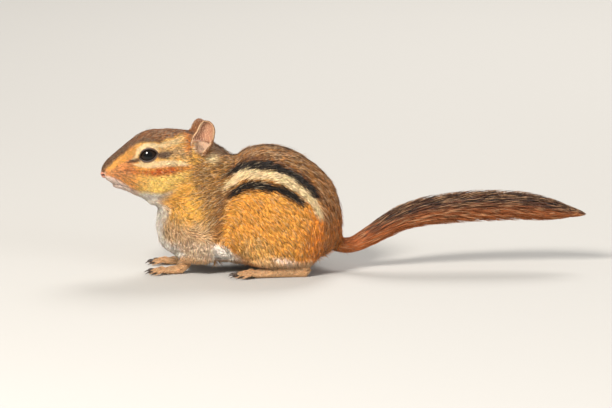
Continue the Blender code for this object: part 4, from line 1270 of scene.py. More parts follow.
# %% Direction of the coat
def lie_of_coat(points, normals):
    """The unit direction along the skin in which the hair at each point lies."""
    x, side, z = points[:, 0], np.abs(points[:, 1]), points[:, 2]
    across, up = x - STRIPE_MIDDLE[0], z - STRIPE_MIDDLE[1]
    distance = np.hypot(across, up)[:, None] + 0.01
    zero = np.zeros(len(points))
    ways = np.column_stack([up, zero, -across]) / distance * soft_step(13.0, 22.0, distance)
    leg = soft_step(20.0, 9.0, z) * soft_step(12.0, 16.0, side) * soft_step(-44.0, -40.0, x)
    own_ways = {
        "haunch": ((0.66, 0.0, -0.75), soft_step(21.0, 13.0, distance[:, 0])),
        "shoulder": ((0.5, 0.0, -0.5), soft_step(-44.0, -54.0, x)),
        "chest": ((0.15, 0.0, -1.4), soft_step(-60.0, -70.0, x) * soft_step(34.0, 26.0, z)),
        "leg": ((0.5, 0.0, -1.6), leg),
        "belly": ((2.0, 0.0, 0.0), soft_step(0.3, 0.8, -normals[:, 2]) * (side < 12.0)),
        "arm": ((-0.2, 0.0, -1.5), soft_step(20.0, 12.0, z) * soft_step(-50.0, -54.0, x)),
        "paw": ((-9.0, 0.0, -0.6), soft_step(6.5, 4.0, z) * (side > 4.0)),
        "tail": ((3.0, 0.0, 0.9), soft_step(0.0, 6.0, x)),
    }
    for way, weight in own_ways.values():
        ways += np.outer(weight, way)
    in_head = to_head(points)
    own_half = np.column_stack([zero + 1, -np.sign(in_head[:, 1]), zero + 1])
    eye_out = in_head - mirrored(EYE_AT, 1.0) * own_half
    eye_near = np.exp(-((np.linalg.norm(eye_out, axis=1) / 7.5) ** 2))
    back = np.tile([1.0, 0.0, -0.12], (len(points), 1)) + unit(eye_out) * eye_near[:, None] * 1.1
    back += np.array([0.0, 0.0, 0.35]) * soft_step(0.0, 8.0, in_head[:, 2])[:, None]
    head = head_share(points)[:, None]
    ways = ways * (1.0 - head) + (back @ HEAD_TURN.T) * head * 1.2
    ways += 0.13 * np.column_stack([cloud(points, 2.6, seed) for seed in (7, 8, 9)])
    flat = ways - normals * np.einsum("ij,ij->i", ways, normals)[:, None]
    return unit(flat)


skin_lie = lie_of_coat(skin_points, skin_normals)
print("mean lie:", skin_lie.mean(axis=0).round(2))

# %% [markdown]
# ## How the skin bends under a hair
# A straight tuft on a round back would stand off like a spike. So each tuft is bent by the skin's
# own curvature along its lie: over an edge of the mesh, the change of the normal against the step
# taken, both measured along the lie. The values are averaged over the neighbours.

# %% Curvature along the lie
BEND_ROUNDS = 24
SHARPEST_BEND = 0.16


def bend_of_skin(points, normals, edges, lie):
    """Curvature along the lie at each point, one over the radius, as a mean over its edges."""
    ends = np.vstack([edges, edges[:, ::-1]])
    step, turn = points[ends[:, 1]] - points[ends[:, 0]], normals[ends[:, 1]] - normals[ends[:, 0]]
    own = lie[ends[:, 0]]
    run, change = np.einsum("ij,ij->i", step, own), np.einsum("ij,ij->i", turn, own)
    top = np.bincount(ends[:, 0], run * change, minlength=len(points))
    base = np.bincount(ends[:, 0], run * run, minlength=len(points))
    raw = np.clip(top / np.maximum(base, 1e-6), -SHARPEST_BEND, SHARPEST_BEND)
    smooth = relaxed(raw[:, None], edges, np.full(len(points), 0.7), BEND_ROUNDS)
    return smooth[:, 0]


skin_bend = bend_of_skin(skin_points, skin_normals, skin_edges, skin_lie)
print("bend from", skin_bend.min().round(3), "to", skin_bend.max().round(3), "per mm")

# %% [markdown]
# ## A tuft of hair
# A tuft is the smallest closed form that can bend: a root point in the skin, a flat triangle
# across its widest place and a tip, six faces in all. It follows an arc of the skin's bend, lifts
# a little off the skin and comes back down. Real hairs would be a hundred times as many, and
# nobody could open the file.

# %% Tuft maker
WIDEST_AT = 0.4
ROOT_SINK = 0.25
LONG_ROOT = 3.0
ARCH = 1.3
TIP_LIFT = 0.5
RIDGE = 0.7
TUFT_FACES = np.array([(0, 2, 1), (1, 2, 4), (0, 3, 2), (0, 1, 3), (2, 3, 4), (3, 1, 4)])


def arc_point(roots, length, height):
    """Points this far along the tufts' arcs and this high over the bent skin."""
    bend = np.where(np.abs(roots["bend"]) < 1e-4, 1e-4, roots["bend"])
    angle = bend * length
    along, out = roots["lie"], roots["normal"]
    run = along * (np.sin(angle) / bend)[:, None] - out * ((1.0 - np.cos(angle)) / bend)[:, None]
    over = out * np.cos(angle)[:, None] + along * np.sin(angle)[:, None]
    return roots["at"] + run + over * height[:, None]


def tuft_points(roots):
    """Five points for each tuft: root, three across the widest place, and tip."""
    length, width, lift = roots["length"], roots["width"], roots["lift"]
    height = length * lift * (WIDEST_AT - 0.5 * WIDEST_AT**2) * ARCH
    middle = arc_point(roots, length * WIDEST_AT, height)
    tip = arc_point(roots, length, length * lift * TIP_LIFT)
    across = unit(np.cross(roots["normal"], roots["lie"]))
    rise = unit(np.cross(unit(tip - roots["at"]), -across))
    half = (width / 2)[:, None]
    root = roots["at"] - roots["normal"] * ROOT_SINK * np.minimum(length / LONG_ROOT, 1.0)[:, None]
    ridge = middle + rise * half * RIDGE
    return np.stack([root, middle - across * half, middle + across * half, ridge, tip], axis=1)


print("triangles of a tuft:", len(TUFT_FACES))

# %% [markdown]
# ## Roots on the skin
# Hair covers skin evenly, whatever triangles the skin is made of. So a triangle's share of the
# roots is its area times the number wanted there, and a root's normal, lie and length are mixed
# from its triangle's three corners by its place inside it.


# %% Scatter roots and read values at them
def scattered(points, faces, density, draw):
    """Random places on triangles: each gets its share of roots by area times density.

    The roots are spaced evenly along the running total, so no patch is left bare by chance.
    Gives, for each root, its triangle and its weights at the three corners.
    """
    a, b, c = (points[faces[:, corner]] for corner in range(3))
    area = np.linalg.norm(np.cross(b - a, c - a), axis=1) / 2.0
    total = np.cumsum(area * density[faces].mean(axis=1))
    count = int(total[-1])
    triangle = np.searchsorted(total, np.arange(count) + draw.random(count)).clip(max=len(faces) - 1)
    first, second = np.sqrt(draw.random(count)), draw.random(count)
    return triangle, np.column_stack([1.0 - first, first * (1.0 - second), first * second])


def read_off(values, faces, triangle, weights):
    """A value at the roots, mixed from the corners of their triangles."""
    mixed = values[faces[triangle]] * (weights if values.ndim == 1 else weights[..., None])
    return mixed.sum(axis=1)


trial_root = scattered(skin_points, skin_faces[:9], np.ones(len(skin_points)), np.random.default_rng(2))
print("roots on nine triangles, one for each square millimetre:", len(trial_root[0]))

# %% [markdown]
# ## Banded hairs
# A tuft is drawn darker at its root, which is painted shade deep in the coat, and its hair may
# end black or straw-coloured. The mix of such tips is what makes brown fur look peppered, so a
# tuft's tip is drawn by the shares of its place. Dark fur varies more from tuft to tuft than pale
# fur does. A map gives every tuft a small patch of its own, so that a painter or an export can
# store colours by tuft.

# %% Colours and map of the tufts
PATCH = 0.003
TUFT_SPOTS = np.array([(0.0, -0.5), (-0.5, 0.0), (0.5, 0.0), (0.0, 0.12), (0.0, 0.5)]) * PATCH


def tuft_colours(paint, draw, root_shade, points_each):
    """Colours along each tuft: painted shade at the root, its own in the middle, drawn by lot at the
    tip.
    """
    count = len(paint)
    spread = 0.3 - 0.2 * paint[:, :3].mean(axis=1)
    own = paint[:, :3] * (1.0 + spread * draw.uniform(-1.0, 1.0, count))[:, None]
    own = own * draw.uniform(0.93, 1.07, (count, 3))
    pick = draw.random(count)
    dark = pick < paint[:, 3]
    pale = ~dark & (pick < paint[:, 3] + paint[:, 4])
    tip = np.where(pale[:, None], PALE_HAIR * 0.7 + own * 0.3, own * 1.1)
    tip = np.where(dark[:, None], DARK_HAIR, tip)
    middle = np.where((dark | pale)[:, None], own * 0.6 + tip * 0.4, own)
    shades = (own * root_shade, middle, tip)
    return np.stack([shades[k] for k in points_each], axis=1)


def unwrapped(places, centre):
    """Places on the map OFBake: the angles from a middle, round the long axis and away from it."""
    out = places - centre
    turn = np.arctan2(out[:, 2], np.abs(out[:, 1]))
    lean = np.arctan2(out[:, 0], np.hypot(out[:, 1], out[:, 2]))
    spots = np.column_stack([lean, turn])
    low, high = spots.min(axis=0), spots.max(axis=0)
    return 0.01 + 0.98 * (spots - low) / np.maximum(high - low, 1e-6)


def tufts_into_piece(name, made, each_faces, each_spots, colours, spots, material, slot, *nodes):
    """One mesh of many like tufts, each with its colours and its own patch of the map."""
    count, each = made.shape[:2]
    faces = (each_faces[None] + (np.arange(count) * each)[:, None, None]).reshape(-1, 3)
    mesh = mesh_from(name, made.reshape(-1, 3), faces)
    give_colour(mesh, colours.reshape(-1, 3))
    give_map(mesh, faces, (spots[:, None] + each_spots[None]).reshape(-1, 2))
    return piece(name, mesh, material, slot, *nodes)


print("patch of a tuft on the map:", PATCH)

# %% [markdown]
# ## How long, how wide and how many
# The coat is long on the back and belly, shorter down the limbs and very short on the face and
# feet. The number of tufts follows from their size: each place wants the same few layers of hair,
# so small tufts grow close together. None grow in the eye's opening, the mouth or the nose pad.

# %% Sizes of the coat
BODY_LENGTH = 4.2
BODY_WIDTH = 0.28
HEAD_LENGTH = 2.9
FOOT_LENGTH = 1.5
FOOT_WIDTH = 0.2
BODY_LAYERS, HEAD_LAYERS, FOOT_LAYERS = 5.2, 4.6, 1.7


def coat_sizes(points, normals):
    """Length, width and number per square millimetre of the tufts at every point."""
    in_head = to_head(points)
    x, side, z = points[:, 0], np.abs(points[:, 1]), points[:, 2]
    mouth = mouth_line(in_head)
    arm = soft_step(20.0, 10.0, z) * soft_step(-50.0, -54.0, x) * soft_step(6.0, 8.0, side)
    on_body = {
        "back": (4.8, soft_step(30.0, 38.0, z) * soft_step(-55, -45, x)),
        "belly": (5.4, soft_step(0.2, 0.8, -normals[:, 2]) * (side < 14.0)),
        "shoulder": (3.8, soft_step(-50.0, -58.0, x)),
        "arm": (2.8, arm),
        "shank": (3.4, soft_step(14.0, 8.0, z) * soft_step(-42.0, -38.0, x)),
        "tail root": (3.6, soft_step(-3.0, 3.0, x)),
    }
    on_head = {
        "face": (1.9, soft_step(-14.0, -28.0, in_head[:, 0])),
        "muzzle": (0.95, soft_step(-31.0, -38.0, in_head[:, 0])),
        "lids": (0.85, soft_step(8.5, 5.2, from_eye(in_head))),
        "ear bowl": (1.3, ear_hollow(in_head)),
        "lips": (0.55, np.clip(mouth * 3.0, 0.0, 1.0)),
    }
    length, face_length = np.full(len(points), BODY_LENGTH), HEAD_LENGTH
    for goal, share in on_body.values():
        length = toward(length, goal, share)
    for goal, share in on_head.values():
        face_length = toward(face_length, goal, share)
    head, foot = head_share(points), soft_step(8.0, 5.0, z) * (side > 4.5)
    width = toward(BODY_WIDTH * (length / BODY_LENGTH) ** 0.5, 0.10 + 0.055 * face_length, head)
    length = toward(toward(length, face_length, head), FOOT_LENGTH, foot)
    width = toward(width, FOOT_WIDTH, foot)
    layers = toward(np.full(len(points), BODY_LAYERS), HEAD_LAYERS, head)
    layers = toward(layers, FOOT_LAYERS, foot)
    bare = mouth > 0.55
    bare |= oval_distance(in_head, PAD_AT, PAD_RADII) < 0.12
    about_eye = (to_left(in_head) - EYE_AT) @ eye_axes().T
    in_eye = (almond(about_eye[:, 0], about_eye[:, 1], 0.7) < 1.0) & (about_eye[:, 2] > 0.0)
    bare |= in_eye & (from_eye(in_head) < 8.0)
    bare |= from_eye(in_head) < EYE_RADIUS + 0.1
    bare |= (z < 3.0) & (normals[:, 2] < -0.35) & (side > 4.5)
    bare |= z < 0.35
    bare |= x > 9.0
    return length, width, layers / (0.5 * length * width) * (1.0 - bare)


skin_length, skin_width, skin_density = coat_sizes(skin_points, skin_normals)
print("tuft length, mm:", skin_length.min().round(2), "to", skin_length.max().round(2))

# %% [markdown]
# ## Laying the coat
# Roots are scattered over the skin, and each reads its lie, bend and size there. No two hairs are
# quite alike, so each tuft's turn, length and lift vary a little, and a few stand out as guard
# hairs, longer, finer and higher than the rest.

# %% Roots of the coat
draw = np.random.default_rng(20)
YAW_SPREAD = 0.13
GUARD_SHARE = 0.07

triangle, weights = scattered(skin_points, skin_faces, skin_density, draw)
fields = {
    "at": skin_points,
    "normal": skin_normals,
    "lie": skin_lie,
    "bend": skin_bend,
    "length": skin_length,
    "width": skin_width,
    "depth": coat_depth(skin_points) + 0.05,
}
roots = {name: read_off(values, skin_faces, triangle, weights) for name, values in fields.items()}
count = len(roots["length"])
roots["normal"] = unit(roots["normal"])
yaw = (draw.normal(0.0, YAW_SPREAD, count) + 0.10 * cloud(roots["at"], 1.8, 11))[:, None]
flat_lie = unit(roots["lie"] - roots["normal"] * (roots["lie"] * roots["normal"]).sum(axis=1)[:, None])
roots["lie"] = flat_lie * np.cos(yaw) + np.cross(roots["normal"], flat_lie) * np.sin(yaw)
guard = draw.random(count) < GUARD_SHARE
roots["lift"] = 2.0 * roots["depth"] / roots["length"] * draw.uniform(0.35, 1.0, count)
roots["lift"] *= 1.0 + 0.3 * cloud(roots["at"], 1.2, 12)
roots["length"] *= draw.uniform(0.8, 1.15, count) * np.where(guard, 1.15, 1.0)
roots["width"] *= draw.uniform(0.8, 1.2, count) * np.where(guard, 0.6, 1.0)
roots["lift"] *= np.where(guard, 1.35, 1.0)
print("tufts:", count, "of them guard hairs:", int(guard.sum()))

# %% [markdown]
# ## Colour and room for each tuft
# A tuft takes the colour of the place that its middle covers, so the stripes stay put. It may read
# it up to a hair's width astray, which frays the stripes' edges as real fur does. No tuft may pass
# through the floor: its points settle softly on a thin layer over it.

# %% Tufts and their colours
STRAY = 0.34
STRAY_ON_HEAD = 0.12
FLOOR_ROOM = 0.3

stray = toward(np.full(count, STRAY), STRAY_ON_HEAD, head_share(roots["at"]))
covered = roots["at"] + roots["lie"] * (roots["length"] * 0.55)[:, None]
covered += stray[:, None] * draw.normal(0.0, 1.0, (count, 3))
root_paint = coat_paint(covered, roots["normal"])
grain = cloud(roots["at"], 0.75, 17)[:, None]
root_paint *= np.where(np.arange(5) < 3, 1.0 + 0.26 * grain, 1.0 - 0.8 * grain)
# Painted shade at the tufts' roots, deeper under the body's long coat than on the head.
root_shade = 0.72 + 0.16 * head_share(roots["at"])
tuft_made = tuft_points(roots)
low = np.minimum(tuft_made[..., 2], FLOOR_ROOM)
tuft_made[..., 2] = np.maximum(tuft_made[..., 2], FLOOR_ROOM * np.exp(low / FLOOR_ROOM - 1.0))
tuft_tint = tuft_colours(root_paint, draw, root_shade[:, None], (0, 1, 1, 1, 2))
print("lowest point of the coat, mm:", tuft_made[..., 2].min().round(3))

# %% [markdown]
# ## The coat in pieces
# One mesh of all tufts would be too large for most programs. So the coat is parted into six
# regions on each side. The parting can't be seen, because the tufts lie over it as elsewhere.

# %% Coat pieces
places, in_head = roots["at"], to_head(roots["at"])
of_head = head_share(places) > 0.5
root_side = np.where(of_head, in_head[:, 1], places[:, 1])
REGIONS = {
    "face": of_head & (in_head[:, 0] < -26.0),
    "head": of_head,
    "feet": (places[:, 2] < 6.5) & (np.abs(places[:, 1]) > 4.5),
    "fore": places[:, 0] < -48.0,
    "middle": places[:, 0] < -26.0,
    "rear": np.full(count, True),
}
taken = np.zeros(count, bool)
for region, inside in REGIONS.items():
    for word, side in SIDES.items():
        own = inside & ~taken & (root_side * side >= 0)
        spots = unwrapped(places[own], places[own].mean(axis=0) * (1.0, 0.0, 1.0))
        slot = "foot_coat" if region == "feet" else "coat"
        name, made, tint = "coat_" + region + "_" + word, tuft_made[own], tuft_tint[own]
        tufts_into_piece(name, made, TUFT_FACES, TUFT_SPOTS, tint, spots, fur, slot)
        taken |= own
print("tufts in pieces:", int(taken.sum()))

# %% [markdown]
# ## Eyes
# The eye is a dark, wet ball with a brown iris so deep that it looks black from afar. A gloss coat
# gives the bright spot of the lamp. Pupil and iris are rings round the way that the eye looks, told
# apart by the angle from it.

# %% Eyeballs
EYE_SHINE = {"Specular_IOR_Level": 0.1, "Coat_Weight": 0.45, "Coat_Roughness": 0.03}
PUPIL_DEG = 24.0
IRIS_DEG = 62.0
IRIS_TINT = np.array([0.012, 0.006, 0.003])
PUPIL_TINT = np.array([0.002, 0.002, 0.002])

gloss = painted("chipmunk eye", 0.1, **EYE_SHINE)
for word, side in SIDES.items():
    points, faces = ball(np.zeros(3), np.full(3, EYE_RADIUS), 48, 72)
    looks = unit(mirrored(EYE_LOOKS, side))
    away = np.degrees(np.arccos(np.clip(points @ looks / EYE_RADIUS, -1.0, 1.0)))
    iris = soft_step(PUPIL_DEG - 2, PUPIL_DEG + 2, away) * soft_step(IRIS_DEG + 8, IRIS_DEG - 4, away)
    eye_mesh = mesh_from("eyeball_" + word, from_head(points + mirrored(EYE_AT, side)), faces)
    give_colour(eye_mesh, toward(PUPIL_TINT, IRIS_TINT, iris[:, None]))
    piece("eyeball_" + word, eye_mesh, gloss, "eye", "eye_" + word)

# %% [markdown]
# ## Lids
# A lid is a soft rim that follows the almond opening. Its cross section starts on the eyeball,
# rises over an edge and dips back into the skin, and the rim closes on itself all round.

# %% Lids
# Each row of the rim: how far outside the opening it runs, and its distance from the eye's middle.
LID_ROWS = (
    (-0.2, 4.25), (-0.3, 4.46), (-0.26, 4.8), (-0.08, 5.02), (0.2, 5.12), (0.5, 5.12), (0.8, 5.0),
    (0.85, 4.7), (0.4, 4.3),
)
LID_AROUND = 84
LID_EDGE = linear((150, 116, 86))


def lid_rim(side):
    """A closed rim round the almond opening, and each point's share from its edge outwards."""
    angle = np.arange(LID_AROUND) * 2 * math.pi / LID_AROUND
    axes = eye_axes()
    rings = []
    for outside, reach in LID_ROWS:
        half_length, half_height = EYE_HALF_LENGTH + outside, EYE_HALF_HEIGHT + outside
        arc = (half_length**2 + half_height**2) / (2.0 * half_height)
        along = half_length * np.cos(angle)
        across = np.sign(np.sin(angle)) * (np.sqrt(arc**2 - along**2) - (arc - half_height))
        out = np.sqrt(np.maximum(reach**2 - along**2 - across**2, 0.01))
        rings.append(np.stack([along, across, out], axis=1) @ axes + EYE_AT)
    made = np.stack(rings)
    rows = len(LID_ROWS)
    ring, spot = np.meshgrid(np.arange(rows), np.arange(LID_AROUND), indexing="ij")
    after, beside = (ring + 1) % rows, (spot + 1) % LID_AROUND
    a, b = ring * LID_AROUND + spot, ring * LID_AROUND + beside
    c, d = after * LID_AROUND + spot, after * LID_AROUND + beside
    faces = np.stack([a, b, d, a, d, c], axis=-1).reshape(-1, 3)
    points = from_head(mirrored(made.reshape(-1, 3), side))
    centre = points.mean(axis=0)
    share = np.repeat(soft_step(0.15, 0.6, np.array([row[0] for row in LID_ROWS])), LID_AROUND)
    return points, turned_out(points - centre, faces), share


lid_material = painted("chipmunk lid", 0.5, 0.25, 0.05)
for word, side in SIDES.items():
    points, faces, share = lid_rim(side)
    lid_mesh = mesh_from("lid_" + word, points, faces)
    give_colour(lid_mesh, toward(LID_COLOUR, LID_EDGE, share[:, None]))
    piece("lid_" + word, lid_mesh, lid_material, "coat")

# %% [markdown]
# ## Nose
# The nose is a small naked pad. Two nostrils open to the sides and curl back like commas, and a
# groove runs down between them to the lip. All three are pressed into an oval ball by formula.
# Painted shade darkens the nostrils, the groove and the pad's upper edge.

# %% Nose pad
NOSTRIL_WAYS = np.array(
    [(-0.86, -0.32, -0.36), (-0.62, -0.72, -0.24), (-0.2, -0.94, -0.2), (0.1, -0.9, -0.45)]
)
NOSTRIL_DEPTH = 0.8
NOSTRIL_WIDTH = 0.36
GROOVE_DEPTH = 0.3
GROOVE_WIDTH = 0.2
NOSE_TINT = linear((196, 132, 108))
NOSTRIL_SHADE = linear((60, 28, 26))
NOSE_TOP_SHADE = linear((92, 64, 50))

points, faces = ball(np.zeros(3), PAD_RADII, 64, 96)
in_head = points + PAD_AT
left = to_left(in_head)
nostril_line = PAD_AT + unit(NOSTRIL_WAYS) * PAD_RADII
near = np.full(len(points), 9.0)
for start, end in zip(nostril_line[:-1], nostril_line[1:]):
    share = np.clip((left - start) @ (end - start) / ((end - start) @ (end - start)), 0.0, 1.0)
    near = np.minimum(near, np.linalg.norm(left - start - share[:, None] * (end - start), axis=1))
nostril = furrow(near, NOSTRIL_WIDTH)
groove = furrow(in_head[:, 1], GROOVE_WIDTH) * soft_step(-8.0, -8.8, in_head[:, 2])
groove *= soft_step(-43.6, -44.4, in_head[:, 0])
pushed = points - unit(points) * (NOSTRIL_DEPTH * nostril + GROOVE_DEPTH * groove)[:, None]
# Painted shade: the pad's upper edge, the nostrils and the groove are drawn darker.
tint = toward(NOSE_TINT, NOSE_TOP_SHADE, soft_step(-7.6, -6.8, in_head[:, 2])[:, None])
tint = toward(tint, NOSTRIL_SHADE, np.clip(nostril * 1.3 + groove * 0.5, 0.0, 1.0)[:, None])
nose_mesh = mesh_from("nose_pad", from_head(pushed + PAD_AT), faces)
give_colour(nose_mesh, tint)
nose_material = painted("chipmunk nose", 0.42, 0.16, 0.06)
piece("nose_pad", nose_mesh, nose_material, "nose_skin", "nose")

# %% [markdown]
# ## Shape of an ear
# An ear is a thin scoop: at each height its wall is an arc of a circle, almost shut at the root and
# wide open higher up. The wall has an inner and an outer face that meet in a rounded rim, so one
# closed ring of points serves for each height. Inside, a low fold crosses the scoop. The right
# ear's root stands a little forward, as its front edge shows in the photo.

# %% Ear shape
EAR_BASE = np.array([-5.0, -9.2, 0.2])
EAR_TIP = np.array([-1.8, -12.4, 13.2])
EAR_OPENS = np.array([-0.52, -0.85, 0.05])
EAR_RADIUS = 4.6
EAR_BASE_RADIUS = 3.4
EAR_ARCS_DEG = (132.0, 62.0)
EAR_WALL = 0.62
EAR_FOLD = 0.5
FOLD_AT = 0.36
FULL_AT = 0.55
EAR_ROWS = 56
EAR_FACE = 44


def ear_place(points, side):
    """The left ear's points set in place, or mirrored to the right, where the ear stands forward."""
    forward = EAR_RIGHT_FORWARD + EAR_RIGHT_LEAN * soft_step(13.0, 0.0, points[:, 2])
    return from_head(mirrored(points, side) - (forward * (side > 0))[:, None] * (1.0, 0.0, 0.0))


def ear_grid():
    """The left ear: rings that run over the inner face, round the rim and back over the outer one.

    Gives the points, and for each one whether it is inside, its height and its share of the arc.
    """
    axis = unit(EAR_TIP - EAR_BASE)
    opens = unit(EAR_OPENS - axis * (EAR_OPENS @ axis))
    across = np.cross(axis, opens)
    height = 1.0 - (1.0 - np.linspace(0.0, 0.99, EAR_ROWS)) ** 1.5
    full = np.sin(np.minimum(height / FULL_AT, 1.0) * math.pi / 2)
    closing = np.sqrt(1.0 - np.clip((height - (1.0 - FULL_AT)) / FULL_AT, 0.0, 1.0) ** 3.2)
    radius = toward(EAR_BASE_RADIUS, EAR_RADIUS, full) * np.maximum(closing, 0.08)
    arc = np.radians(toward(*EAR_ARCS_DEG, np.minimum(height / 0.6, 1.0)))
    over = np.linspace(-1.0, 1.0, EAR_FACE)
    share = np.concatenate([over, over[::-1]])
    turn = share[None] * arc[:, None]
    inner = np.repeat([1.0, 0.0], EAR_FACE)
    edge = np.sqrt(1.0 - np.clip(np.abs(share), 0, 1) ** 10)
    thin = np.minimum(1.0, 0.35 + (1.0 - height) * 3.0)
    wall = EAR_WALL * edge[None] * (inner - 0.5)[None] * thin[:, None]
    crossing = furrow(height[:, None] - FOLD_AT - 0.06 * np.sin(turn * 1.2), 0.035)
    reach = radius[:, None] - wall - EAR_FOLD * crossing * inner[None]
    points = (
        EAR_BASE
        + (EAR_TIP - EAR_BASE) * height[:, None, None]
        - opens * (reach * np.cos(turn) - radius[:, None] * 0.35)[..., None]
        + across * (reach * np.sin(turn))[..., None]
    )
    flat = np.broadcast_arrays(inner[None], height[:, None], turn / arc[:, None])
    return points, dict(zip(("inner", "height", "turn"), flat))


ear_rings, ear_flat = ear_grid()
ends = np.array([ear_rings[0].mean(axis=0), ear_rings[-1].mean(axis=0)])
ear_faces = tube_faces(EAR_ROWS, EAR_FACE * 2)
ear_left = np.vstack([ear_rings.reshape(-1, 3), ends])
ear_flat = {name: np.append(value, [value[0, 0], value[-1, -1]]) for name, value in ear_flat.items()}
print("points of an ear:", len(ear_left))

# %% [markdown]
# ## Colours of an ear
# The hollow is pale skin, the face of the scoop is darker, with painted shade in its inner crease
# and behind its front rim, the rim itself is light, and the back is brown. The shell carries these
# colours, and short hair is laid over it later.

# %% Ear shells
EAR_INSIDE = linear((176, 128, 100))
EAR_PAINTED_SHADE = linear((96, 60, 46))
EAR_CONCHA = linear((240, 214, 198))
EAR_RIM = linear((236, 202, 158))
EAR_BACK = linear((150, 98, 62))

inner, height, turn = ear_flat["inner"], ear_flat["height"], ear_flat["turn"]
# Painted shade: the inner crease and a band behind the front rim are drawn darker.
rim_shade = soft_step(-0.15, -0.62, turn) * 0.9
deep = np.clip(furrow(height - FOLD_AT, 0.05) * 0.7 + rim_shade, 0, 1)
ear_tint = toward(EAR_INSIDE, EAR_PAINTED_SHADE, (deep * 0.8)[:, None])
ear_tint = toward(ear_tint, EAR_CONCHA, soft_step(0.34, 0.26, height)[:, None])
ear_tint = toward(EAR_BACK, ear_tint, inner[:, None])
rim = np.maximum(soft_step(0.9, 0.97, np.abs(turn)), soft_step(0.93, 0.98, height))
ear_tint = toward(ear_tint, EAR_RIM, rim[:, None])
ear_material = painted("chipmunk ear", 0.6, 0.5, 0.06, (0.88, 1.1), Specular_IOR_Level=0.3)
for word, side in SIDES.items():
    points = ear_place(ear_left, side)
    faces = turned_out(points - points.mean(axis=0), ear_faces)
    ear_mesh = mesh_from("ear_shell_" + word, points, faces)
    give_colour(ear_mesh, ear_tint)
    piece("ear_shell_" + word, ear_mesh, ear_material, "ear_skin", "ear_" + word)

# %% [markdown]
# ## Claws
# Each toe ends in a curved claw with a sharp tip. It starts inside the toe, arches over and comes
# down close to the floor. Four in front and five behind on each side make eighteen.

# %% Claws
CLAW_PATH = np.array([(-0.9, 0.0, 0.25), (0.0, 0.0, 0.5), (0.45, 0.0, 0.42), (1.0, 0.0, -0.25)])
CLAW_RADII = np.array([0.42, 0.44, 0.3, 0.05])
LOWEST_CLAW = 0.04
CLAW_TINT = (*linear((58, 44, 36)), 1.0)


def claws():
    """All claws as closed tubes: each path is scaled to its claw and set on its toe's tip."""
    made = []
    for foot, side in feet:
        turn, place = foot_place(foot, side)
        for number in range(len(foot["toe_share"])):
            _, tip, reach = toe_line(foot, number)
            path = tip + reach * CLAW_PATH[:, :1] * foot["claw"] + CLAW_PATH * (0.0, 0.0, 1.0)
            points, faces = tube(path, CLAW_RADII * 0.8, CLAW_RADII, 12, 10, 0.5)
            made.append((points @ turn.T + place, faces))
    return stacked(made)


claw_material, _ = principled("chipmunk claw", 0.35, Base_Color=CLAW_TINT)
claw_points, claw_faces = claws()
claw_points[:, 2] = np.maximum(claw_points[:, 2], LOWEST_CLAW)
piece("claws", mesh_from("claws", claw_points, claw_faces), claw_material, "claw")

# %% [markdown]
# ## The tail's brush
# The tail is a flattened bottle brush. Each lock leaves the whip, bends back along the tail and
# reaches the outline of the brush. Past the tail's end the brush draws in to a soft tip. Short
# tufts as on the body could not do this, because they lie flat and the brush would be solid.

# %% Lines of the tail locks
LOCK_COUNT = 10200
LOCK_RINGS = np.array([0.16, 0.45, 0.76])
LOCK_LENGTHS = (4.9, 13.0)
SHORTEST_LOCK = 1.5
BRUSH_FROM = 5.0
BRUSH_FULL_AT = 26.0
TIP_REACH = 3.6
TIP_SPREAD = 1.4


def along_tail(values, at):
    """A row of the tail's values read at these distances from its root."""
    return np.column_stack([np.interp(at, tail_at, column) for column in np.atleast_2d(values.T)])


def tail_places(at, angle, depth_share):
    """Places at a distance along the tail, an angle round it and a share of the brush's reach."""
    beyond = np.maximum(at - tail_at[-1], 0.0)[:, None]
    depth_share = depth_share * (1.0 - 0.8 * beyond[:, 0] / TIP_REACH)
    middle = along_tail(tail_middle, at) + along_tail(tail_along, at) * beyond
    side, up = along_tail(tail_side, at), along_tail(tail_up, at)
    wide, high = (np.hypot(along_tail(reach, at), TIP_SPREAD) for reach in (tail_wide, tail_high))
    out = side * (wide * np.cos(angle)[:, None]) + up * (high * np.sin(angle)[:, None])
    return middle + out * depth_share[:, None]


lock_draw = np.random.default_rng(31)
start = BRUSH_FROM + (tail_at[-1] - BRUSH_FROM - 1.0) * lock_draw.random(LOCK_COUNT) ** 0.92
turn = lock_draw.random(LOCK_COUNT) * 2 * math.pi
fullness = soft_step(BRUSH_FROM, BRUSH_FULL_AT, start)
long = toward(*LOCK_LENGTHS, fullness) * lock_draw.uniform(0.75, 1.1, LOCK_COUNT)
long = np.minimum(long, tail_at[-1] + TIP_REACH * lock_draw.uniform(-1.3, 1.0, LOCK_COUNT) - start)
long = np.maximum(long, SHORTEST_LOCK)
whip_share = np.interp(start, np.linspace(0, tail_at[-1], len(WHIP_SHARES)), WHIP_SHARES) * 0.9
goal = lock_draw.uniform(0.45, 1.03, LOCK_COUNT) ** 0.8
curl = lock_draw.normal(0.0, 0.10, LOCK_COUNT)
goal = np.maximum(goal, whip_share)
line = []
for share in (0.0, *LOCK_RINGS, 1.0):
    out = toward(whip_share, goal, 1.0 - (1.0 - share) ** 1.8)
    line.append(tail_places(start + long * share**1.15, turn + curl * share, out))
line = np.stack(line, axis=1)
print("locks:", LOCK_COUNT, "mean length, mm:", long.mean().round(1))

# %% [markdown]
# ## Locks as slim spindles
# A lock is a three-sided spindle: a point at the root, three rings of three points and a point at
# the tip, eighteen faces in all. The middle ring is the widest. Its flat side faces outwards, so
# that it covers much for its few faces.

# %% Spindles
LOCK_WIDTH = 0.42

